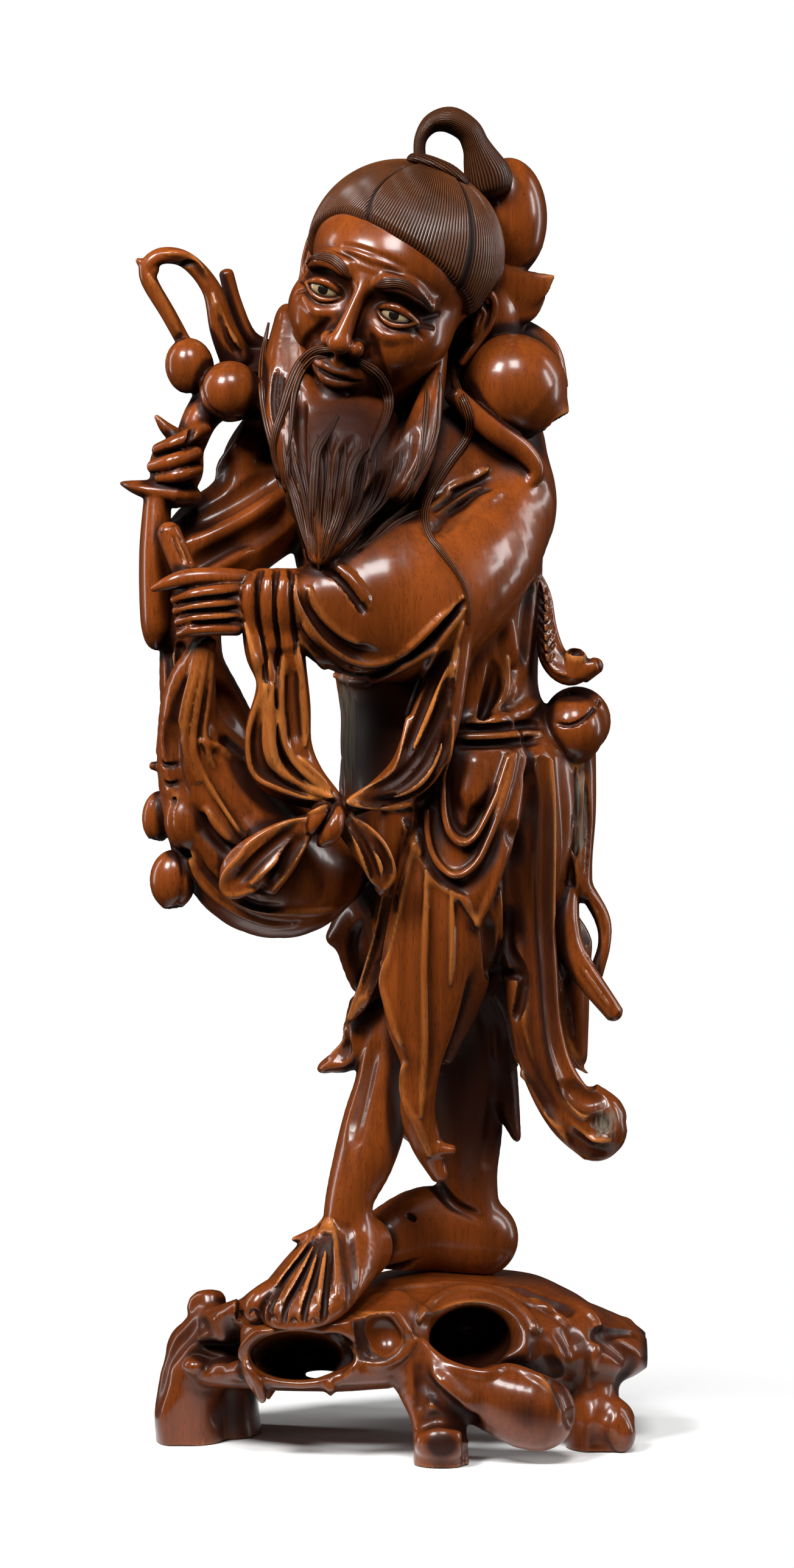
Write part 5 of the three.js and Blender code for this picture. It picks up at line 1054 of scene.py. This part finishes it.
class Finish:
    """A material in the making: every node comes from one method, and its outputs are Values."""

    def __init__(self, name):
        self.material = bpy.data.materials.new(name)
        self.material.use_nodes = True
        self.tree = self.material.node_tree
        self.shader = self.tree.nodes["Principled BSDF"]

    def feed(self, socket, value):
        if isinstance(value, Value):
            self.tree.links.new(value.socket, socket)
        else:
            socket.default_value = value

    def node(self, kind, settings, inputs, output=0):
        made = self.tree.nodes.new(kind)
        for key, value in settings.items():
            setattr(made, key, value)
        for key, value in inputs.items():
            self.feed(made.inputs[key], value)
        return Value(self, made.outputs[output])

    def place(self):
        return self.node("ShaderNodeTexCoord", {}, {}, "Object")

    def reading(self, name):
        return self.node("ShaderNodeAttribute", {"attribute_name": name}, {}, "Fac")

    def noise(self, pitch, detail=3.0, warp=0.0, shift=0.0):
        """Noise whose patches measure pitch mm in x, y and z."""
        scale = tuple(1 / (MM * size) for size in pitch)
        spot = self.node("ShaderNodeMapping", {}, {"Vector": self.place(), "Scale": scale, "Location": (shift, shift, shift)})
        return self.node("ShaderNodeTexNoise", {}, {"Vector": spot, "Scale": 1.0, "Detail": detail, "Distortion": warp})

    def ramp(self, value, low, high):
        """0 below low, 1 above high, and a smooth step between them."""
        return self.node("ShaderNodeMapRange", {"interpolation_type": "SMOOTHSTEP"},
                         {"Value": value, "From Min": low, "From Max": high})

    def blend(self, share, first, second):
        """A colour that goes from the first to the second as the share goes from 0 to 1."""
        colours = [c if isinstance(c, Value) else (*c, 1) for c in (first, second)]
        return self.node("ShaderNodeMix", {"data_type": "RGBA"}, {0: share, 6: colours[0], 7: colours[1]}, 2)

    def bump(self, height, strength, distance):
        return self.node("ShaderNodeBump", {}, {"Height": height, "Strength": strength, "Distance": distance * MM})

    def finished(self, **inputs):
        for name, value in inputs.items():
            self.feed(self.shader.inputs[name.replace("_", " ")], value)
        return self.material


def polished(name, pale, mid, dark, sheen):
    """The wood's finish, from its colours on lips, on flats and in cuts, and its roughness. The lips are paler by wear
    and a painted highlight; cuts and recesses are darker by old dirt and painted shade.
    """
    wood = Finish(name)
    figure = wood.noise((9, 9, 120), detail=4, warp=0.6)
    streak = wood.noise((1.1, 1.1, 26), detail=3, shift=7.3)
    cloud = wood.noise((26, 26, 60), detail=2, shift=3.1)
    pore = wood.noise((0.34, 0.34, 4.2), detail=1, shift=1.7)
    hollow = wood.reading("hollow")
    wear_and_highlight = wood.reading("wear_and_highlight")
    greyed = wood.ramp(wood.reading("greyed") + 0.5 * (streak - 0.5), 0.45, 0.65)
    tone = wood.ramp(figure * 0.55 + streak * 0.3 + cloud * 0.35, 0.42, 0.78)
    flat = wood.blend(tone, tuple(0.66 * c for c in mid), tuple(1.3 * c for c in mid))
    # Thin lips are painted paler: wear from polishing, and a painted highlight.
    edged = wood.blend(wood.ramp(wear_and_highlight, 0.15, 0.95) * (0.15 + 0.7 * cloud), flat, pale)
    flecked = wood.blend(wood.ramp(pore, 0.60, 0.70) * 0.4, edged, dark)
    # Hollows and sheltered places are painted dark: old dirt in the cuts, and painted shade in recesses and between
    # forms.
    deep = wood.ramp(hollow, 0.04, 0.44)
    shade = wood.ramp(wood.reading("sheltered"), 0.2, 0.5)
    dirt_and_shade = wood.blend(1 - (1 - deep * 0.92) * (1 - shade * 0.7), flecked, dark)
    # The grey of bare wood, and a painted grey reflection at the waist.
    grey = wood.blend(wood.ramp(streak, 0.35, 0.65), (0.045, 0.036, 0.026), (0.13, 0.108, 0.08))
    colour = wood.blend(greyed * 0.85, dirt_and_shade, grey)
    gloss = sheen + 0.2 * deep + 0.12 * (cloud - 0.5) + 0.25 * greyed
    return wood.finished(Base_Color=colour, Roughness=gloss, Coat_Weight=0.45 * (1 - deep) * (1 - greyed), Coat_Roughness=0.17,
                         Specular_IOR_Level=0.12, Normal=wood.bump(streak * 0.6 + pore * 0.4, 0.12, 0.12))


figure_wood = polished("figure_rosewood", (0.58, 0.20, 0.044), (0.142, 0.0305, 0.0042), (0.008, 0.0012, 0.0004), 0.3)
hair_wood = polished("hair_rosewood", (0.30, 0.125, 0.045), (0.072, 0.021, 0.0055), (0.006, 0.0014, 0.0007), 0.36)
beard_wood = polished("beard_rosewood", (0.46, 0.18, 0.055), (0.105, 0.024, 0.0045), (0.006, 0.0014, 0.0007), 0.34)
stand_wood = polished("stand_rosewood", (0.44, 0.145, 0.034), (0.098, 0.0205, 0.003), (0.008, 0.0014, 0.0006), 0.28)


def inlaid():
    """The inlaid eye: pale bone with a dark round in the middle, by the distance from the middle of each eye."""
    finish = Finish("inlaid_eye")
    nearest = None
    for side in (-1, 1):
        middle = upright(11.5 * side, -1.5, -28.2) @ HEAD_TURN.T + HEAD_MIDDLE
        apart = finish.node("ShaderNodeVectorMath", {"operation": "DISTANCE"},
                            {0: finish.place(), 1: tuple(middle * MM)}, "Value")
        nearest = apart if nearest is None else nearest.maths("MINIMUM", nearest, apart)
    pupil = 1 - finish.ramp(nearest, 1.5 * MM, 1.75 * MM)
    return finish.finished(Base_Color=finish.blend(pupil, (0.30, 0.215, 0.12), (0.006, 0.004, 0.003)), Roughness=0.2,
                           Coat_Weight=0.5, Coat_Roughness=0.08)


eye_finish = inlaid()


SHELTER = 14


def thinned(clay, budget):
    """The clay's zero surface thinned to a number of triangles, in mm, with its slopes and how hollow, thin-lipped and
    sheltered it is.

    The slope is the difference of the distances on both sides of a corner, along each axis. A corner is hollow where
    the air just above it is nearer to some wood than its height says, and thin-lipped where the wood below it is thin.
    It is sheltered by the share of wood in the wider space around a place 6 mm above it. The finish paints hollow and
    sheltered places dark, as old dirt in the cuts and as painted shade in recesses, and paints thin lips paler, as wear
    and as a painted highlight. Bits that hang in the air or hollows shut in the wood are dropped: each corner takes the
    least label of its triangles until all of a shell are alike.
    """
    corners, triangles = clay.surface()
    if len(triangles) > budget:
        mesh = bpy.data.meshes.new("rough")
        mesh.vertices.add(len(corners))
        mesh.vertices.foreach_set("co", corners.astype(np.float32).ravel())
        mesh.loops.add(triangles.size)
        mesh.loops.foreach_set("vertex_index", triangles.ravel().astype(np.int32))
        mesh.polygons.add(len(triangles))
        mesh.polygons.foreach_set("loop_start", np.arange(0, triangles.size, 3, dtype=np.int32))
        mesh.update(calc_edges=True)
        full = bpy.data.objects.new("rough", mesh)
        bpy.context.scene.collection.objects.link(full)
        full.modifiers.new("thinned", "DECIMATE").ratio = budget / len(triangles)
        ready = full.evaluated_get(bpy.context.evaluated_depsgraph_get()).to_mesh()
        corners = np.empty(len(ready.vertices) * 3, np.float32)
        ready.vertices.foreach_get("co", corners)
        corners = corners.reshape(-1, 3).astype(float)
        triangles = np.empty(len(ready.loops), np.int32)
        ready.loops.foreach_get("vertex_index", triangles)
        triangles = triangles.reshape(-1, 3)
        bpy.data.objects.remove(full)
        bpy.data.meshes.remove(mesh)
    label = np.arange(len(corners))
    while True:
        least = label[triangles].min(1)
        spread = label.copy()
        np.minimum.at(spread, triangles.ravel(), np.repeat(least, 3))
        spread = spread[spread]
        if (spread == label).all():
            break
        label = spread
    shell = label[triangles[:, 0]]
    triangles = triangles[shell == np.bincount(shell).argmax()]
    kept, triangles = np.unique(triangles, return_inverse=True)
    corners, triangles = corners[kept], triangles.reshape(-1, 3)
    near = 0.6 * clay.step
    slopes = np.stack([clay.sample(corners + near * axis) - clay.sample(corners - near * axis) for axis in np.eye(3)], 1)
    slopes /= np.linalg.norm(slopes, axis=1, keepdims=True) + 1e-9
    # Hollow corners, which the finish paints dark as old dirt and painted shade.
    hollow = sum(np.clip(1 - clay.sample(corners + slopes * d) / d, 0, 1) for d in (1.5, 3.5, 7.0)) / 3
    # Thin lips, which the finish paints paler as wear and as a painted highlight.
    wear_and_highlight = sum(np.clip(1 + clay.sample(corners - slopes * d) / d, 0, 1) for d in (0.8, 1.6)) / 2
    coarse = Clay(clay.low, clay.low + 1, 4 * clay.step)
    coarse.field = (clay.field[::4, ::4, ::4] < 0).astype(np.float32)
    wide = round(SHELTER / coarse.step)
    for axis in (0, 1, 2, 0, 1, 2):
        around = np.pad(coarse.field, [(wide // 2, wide - 1 - wide // 2) if k == axis else (0, 0) for k in range(3)])
        coarse.field = sliding(around, wide, axis=axis).mean(-1)
    # Sheltered places, which the finish paints dark as shade.
    sheltered = coarse.sample(corners + 6 * slopes)
    return {"places": corners, "faces": triangles, "slopes": slopes, "hollow": hollow, "wear_and_highlight": wear_and_highlight,
            "sheltered": sheltered}


# Grey patches, the middle and the half sizes of each: a painted grey reflection on the robe at the waist, a grey patch
# on the cloth by the neck of the sack, and wood left bare and gone grey on the bark strip at the hip and at the rough
# end of the train.
GREY_PATCHES = [
    ([-11, -8, 214], [4.4, 13, 17]),
    ([-46, -12, 212], [7, 8, 8]),
    ([59, 0, 185], [3.4, 9, 24]),
    ([56, 2, 166], [4.4, 9, 14]),
    ([67, -19, 97], [5.4, 6, 7.4]),
]


# Patches painted dark as shade: the roots of the beard, the legs behind the panels, the waist behind the sash, the cave
# and the pierced hole of the stand, and the inner arch of its left foot.
PAINTED_SHADE = [
    ([-9, -34, 293], [17, 14, 22]),
    ([30, 2, 121], [16, 22, 37]),
    ([-1, -12, 212], [11, 12, 17]),
    ([28, -18, 29], [15, 14, 9]),
    ([-26, -20, 25], [15, 12, 7]),
    ([-41, -10, 9], [8, 9, 7]),
]
READINGS = ("hollow", "wear_and_highlight", "sheltered", "greyed")


def patched(places, patches):
    """How far each corner lies inside the patches: 1 in the middle of one, 0.5 at its rim and 0 outside."""
    share = np.zeros(len(places))
    for middle, half in patches:
        share = np.maximum(share, 1 - 0.5 * np.linalg.norm((places - middle) / half, axis=1))
    return share


def one_mesh(name, *groups):
    """Groups of forms joined into one object: each group is a finish and its forms, and slopes become the normals."""
    forms = [form for _, members in groups for form in members]
    counts = np.cumsum([0] + [len(form["places"]) for form in forms])
    faces = np.vstack([form["faces"] + start for form, start in zip(forms, counts)])
    joined = {key: np.concatenate([form[key] for form in forms]) for key in ("places", "slopes", *READINGS[:3])}
    # Grey patches: bare wood, and a painted grey reflection at the waist.
    joined["greyed"] = patched(joined["places"], GREY_PATCHES)
    # The shade patches are painted dark like the deepest hollows.
    joined["hollow"] = np.maximum(joined["hollow"], 0.66 * patched(joined["places"], PAINTED_SHADE))
    mesh = bpy.data.meshes.new(name)
    mesh.vertices.add(counts[-1])
    mesh.vertices.foreach_set("co", (joined["places"] * MM).astype(np.float32).ravel())
    mesh.loops.add(faces.size)
    mesh.loops.foreach_set("vertex_index", faces.ravel().astype(np.int32))
    mesh.polygons.add(len(faces))
    mesh.polygons.foreach_set("loop_start", np.arange(0, faces.size, 3, dtype=np.int32))
    mesh.update(calc_edges=True)
    for key in READINGS:
        mesh.attributes.new(key, "FLOAT", "POINT").data.foreach_set("value", joined[key].astype(np.float32))
    slots = [np.full(sum(len(form["faces"]) for form in members), k) for k, (_, members) in enumerate(groups)]
    mesh.polygons.foreach_set("material_index", np.concatenate(slots).astype(np.int32))
    mesh.polygons.foreach_set("use_smooth", np.ones(len(faces), bool))
    mesh.normals_split_custom_set_from_vertices(joined["slopes"].astype(np.float32))
    for finish, _ in groups:
        mesh.materials.append(finish)
    made = bpy.data.objects.new(name, mesh)
    bpy.context.scene.collection.objects.link(made)
    print(name, len(faces))
    return made


def landed(line):
    """A drawn line carried onto the first wood that its sight lines meet, of the body or of the head, as seen in front."""
    line = along(line, 1.1)
    start, ahead = rays(line, "front")
    travel = np.arange(0, 110, 0.5)
    places = start[:, None] + travel[:, None] * ahead[:, None]
    values = np.minimum(body.sample(places), head.sample((places - HEAD_MIDDLE) @ HEAD_TURN))
    inside = values < 0
    first = np.maximum(inside.argmax(1), 1)
    i = np.arange(len(line))
    before, after = values[i, first - 1], values[i, first]
    reach = travel[first - 1] + 0.5 * before / np.maximum(before - after, 1e-6)
    good = inside.any(1)
    reach = np.interp(i, i[good], reach[good])
    reach = sliding(np.pad(reach, 3, mode="edge"), 7).mean(1)
    return start + ahead * reach[:, None]


def browed(line):
    """A line drawn on the front of the head in its own frame, carried onto the brow."""
    return head.met(line, 0, "local")[0] @ HEAD_TURN.T + HEAD_MIDDLE


def lock(line, width, height, strands, lift=0.0, sink=1.2, wave=0.0, phase=0.0, columns=4, root=0.3, tip=0.12,
         surface=landed):
    """A lock of hair laid on the surface along a drawn line.

    Across, it is the top of an oval with a groove between each two strands; along, its width and height swell from
    one end and taper to the other, and it sways by a sine.
    """
    points = surface(np.asarray(line, float))
    t = np.linspace(0, 1, len(points))
    ahead = np.gradient(points, axis=0)
    ahead /= np.linalg.norm(ahead, axis=1, keepdims=True)
    out = EYE - points
    out /= np.linalg.norm(out, axis=1, keepdims=True)
    side = np.cross(ahead, out)
    side /= np.linalg.norm(side, axis=1, keepdims=True)
    out = np.cross(side, ahead)
    swell = np.minimum(1, root + 4 * t) * np.minimum(1, tip + 1.7 * (1 - t)) ** 0.8
    half = width * swell
    points = points + side * (wave * np.sin(8 * t + phase))[:, None]
    u = np.linspace(-1, 1, columns * strands + 1)
    ripple = 0.5 - 0.5 * np.cos(pi * strands * (u + 1))
    crown = np.sqrt(np.clip(1 - np.abs(u) ** 2.6, 0, 1))
    depth = np.minimum(0.5, 0.7 * half / strands)
    top = (height * swell)[:, None] * crown + lift * np.minimum(1, 5 * t)[:, None] + depth[:, None] * (ripple - 0.6) * crown
    across = np.concatenate([u, [0.7, 0, -0.7]])
    rise = np.hstack([top, np.full((len(points), 3), -sink)])
    grid = points[:, None] + side[:, None] * (half[:, None] * across)[..., None] + out[:, None] * rise[..., None]
    # Grooves between strands are painted dark as dust and painted shade; strand tops paler as wear and a painted
    # highlight.
    groove = np.tile(np.concatenate([1 - ripple, np.ones(3)]), (len(points), 1))
    return as_form(grid, 0.05 + 0.65 * groove, 0.5 * (1 - groove))


# The beard and the moustache
# A long wedge that falls from the cheeks and the chin over the left sleeve, deeply cut, with raised waving locks.
body.limb([[-12, 307, -23, 17, 9], [-12, 297, -30, 16, 11], [-13, 287, -36, 13.5, 10], [-15.5, 275, -42, 8, 6.4],
           [-19, 264, -45.6, 2.2, 2.6]], soft=2, end=0.4)
body.limb([[-28.4, 337, -9, 3.2, 6], [-29.8, 322, -15, 5.2, 8], [-28.8, 306, -24, 6, 8], [-24, 290, -32, 6, 7]], soft=3)
body.limb([[-24, 334, -12, 3, 6], [-23.6, 320, -17, 5, 8], [-23, 308, -24, 5, 8]], soft=4)
body.limb([[17.6, 327, -14, 2.4, 5], [14.4, 312, -22, 4.0, 7], [10, 298, -30, 6, 8], [4, 288, -35, 7, 7]], soft=3)
body.cuts(1.7, 2.2, [[-23.8, 316], [-23.8, 305], [-23.6, 295], [-22.8, 285], [-21.8, 276], [-20.8, 268]],
          [[-14, 303], [-16, 297], [-16.4, 290], [-16.6, 281], [-17, 273]],
          [[-8, 302], [-11.4, 296], [-12.8, 289], [-13, 283], [-14.6, 275]],
          [[-5, 295], [-5.8, 289], [-7.4, 284], [-10.2, 277.6], [-12.8, 270]], soft=1)
body.cuts(3.6, 2.6, [[8, 303], [6.4, 296], [2.6, 289.6], [-1.6, 283.4], [-6, 277]], soft=1.6)
body.cuts(0.9, 1.4, [[9.6, 284.4], [5.6, 280.6], [0.4, 276.6], [-4.4, 272], [-7, 268.6]],
          [[-31, 322], [-32, 313], [-31.2, 304.6]], [[-29.4, 321], [-30, 312], [-29.6, 305]],
          [[-26.4, 300], [-26.6, 292], [-24.6, 283], [-22.6, 274]], soft=0.6)
LOCKS = [
    ([[-33.4, 336], [-35, 326], [-35.2, 315], [-34, 306], [-32.4, 299], [-30.8, 290], [-27.6, 282], [-24, 272.6], [-21.8, 264]],
     1.2, 0.9, 3, 0),
    ([[-27.2, 296], [-27.8, 290], [-25.8, 283], [-23.4, 275], [-21, 266]], 1.3, 1.1, 3, 0.1),
    ([[-12.9, 308.4], [-15, 304.8], [-17.4, 301.4], [-19.3, 297.4], [-19.7, 292], [-20, 284], [-20.3, 276], [-19.8, 269],
      [-18.8, 262.6]], 1.5, 1.4, 3, 0.4),
    ([[-3, 299.6], [-6.4, 296.4], [-8.8, 290.4], [-9.6, 284.4], [-11.4, 279], [-13.6, 273], [-16, 265.6]], 1.3, 1.2, 3, 0.3),
    ([[-1.8, 288.4], [-3.4, 283.2], [-6, 278.4], [-9.4, 273], [-13.4, 266]], 1.0, 1.0, 2, 0.2),
    ([[10, 292], [8.4, 286.8], [5, 283], [0, 279.4], [-4, 275], [-8.2, 270], [-11.8, 266]], 1.2, 1.1, 3, 0.2),
    ([[12.6, 285.4], [8.6, 281.8], [4.6, 278.2], [0, 274.4], [-4.6, 270.2], [-8, 268]], 1.1, 1.0, 2, 0.1),
    ([[13, 280.4], [8, 277.8], [3, 275], [-1.4, 271.6], [-6, 268.4]], 1.1, 0.9, 2, 0),
    ([[-14.6, 287], [-15.4, 280], [-16.8, 272], [-17.6, 264.6]], 0.9, 0.8, 2, 0),
    ([[-11.4, 284], [-13.2, 277], [-15, 271], [-16.8, 265]], 0.9, 0.8, 2, 0),
    ([[13.4, 319], [13.6, 309], [12, 297], [8.6, 288]], 0.9, 0.5, 2, 0),
    ([[17.6, 321], [17.6, 314], [16.4, 304], [13.4, 295], [9.6, 287.6]], 1.1, 0.8, 2, 0),
    ([[-10.6, 326.2], [-14.6, 327.8], [-19.4, 327.4], [-24, 323.6], [-27, 317.4], [-29, 310.6], [-31, 304], [-31.8, 298],
      [-30.4, 291], [-28.6, 286]], 1.7, 1.5, 4, 0.6),
    ([[-15, 325.6], [-19.6, 325.6], [-23.4, 321.8], [-25.4, 316], [-26.4, 309], [-27.2, 302], [-28.6, 296]], 1.1, 1.1, 2, 0.4),
    ([[-9.6, 325.4], [-5.4, 323.6], [-1.2, 320.8], [1.6, 316.8], [2.4, 311.6], [0.8, 306], [-1.4, 301.6], [-3, 297.4],
      [-3.2, 294.6]], 1.8, 1.5, 4, 0.6),
]
FALL_LEFT = np.array([[-30.6, 303], [-29.4, 293], [-26.8, 284], [-23.4, 275], [-20.6, 266]])
FALL_RIGHT = np.array([[13.4, 303], [12, 293], [6.6, 284], [-3, 275], [-13, 266]])
parts = []
for share in np.linspace(0.04, 0.96, 17):
    parts.append(lock((1 - share) * FALL_LEFT + share * FALL_RIGHT, 0.8, 0.35, 2, wave=0.5, phase=9 * share, columns=3, root=0))
for i, (line, width, height, strands, lift) in enumerate(LOCKS):
    parts.append(lock(line, width, height, strands, lift=lift, wave=0.25, phase=1.7 * i))
for line in both([[3.8, 5.0], [6.4, 6.8], [10, 8.2], [14, 8.0], [18, 5.6], [20.4, 2.6]]):
    parts.append(lock(line, 1.5, 0.5, 5, columns=3, sink=0.8, tip=0.2, surface=browed))
parts.append(lock([[20.6, 328], [22.4, 318], [25.4, 311], [26.6, 305.4], [25, 300.6], [20.6, 294.6], [16.6, 288.4], [13.9, 283],
                   [13, 277.6], [14.4, 272.4], [18, 267.6], [21.6, 263], [24.6, 258], [26.2, 252], [26.4, 246]],
                  1.4, 1.3, 4, lift=0.4, sink=0.9, tip=0.25))
face = in_place(thinned(head, 75000))
head_piece = one_mesh("carved_head", (figure_wood, [face]), (hair_wood, hair), (beard_wood, parts))

t0 = time.time()
figure_piece = one_mesh("carved_figure", (figure_wood, [thinned(body, 190000)]))
print("mesh", time.time() - t0)
root_piece = one_mesh("carved_root", (stand_wood, [thinned(root, 120000)]))
print("mesh", time.time() - t0)
for made, node, slot in ((figure_piece, "figure", "carved_hardwood"), (head_piece, "figure", "carved_hardwood"),
                         (root_piece, "root_base", "stand_hardwood")):
    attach(made, "root")
    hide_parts(node)
for side, word in ((1, "left"), (-1, "right")):
    eye = one_mesh("inlaid_eye_" + word, (eye_finish, [lens(side)]))
    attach(eye, "root")
    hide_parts("eye_" + word)
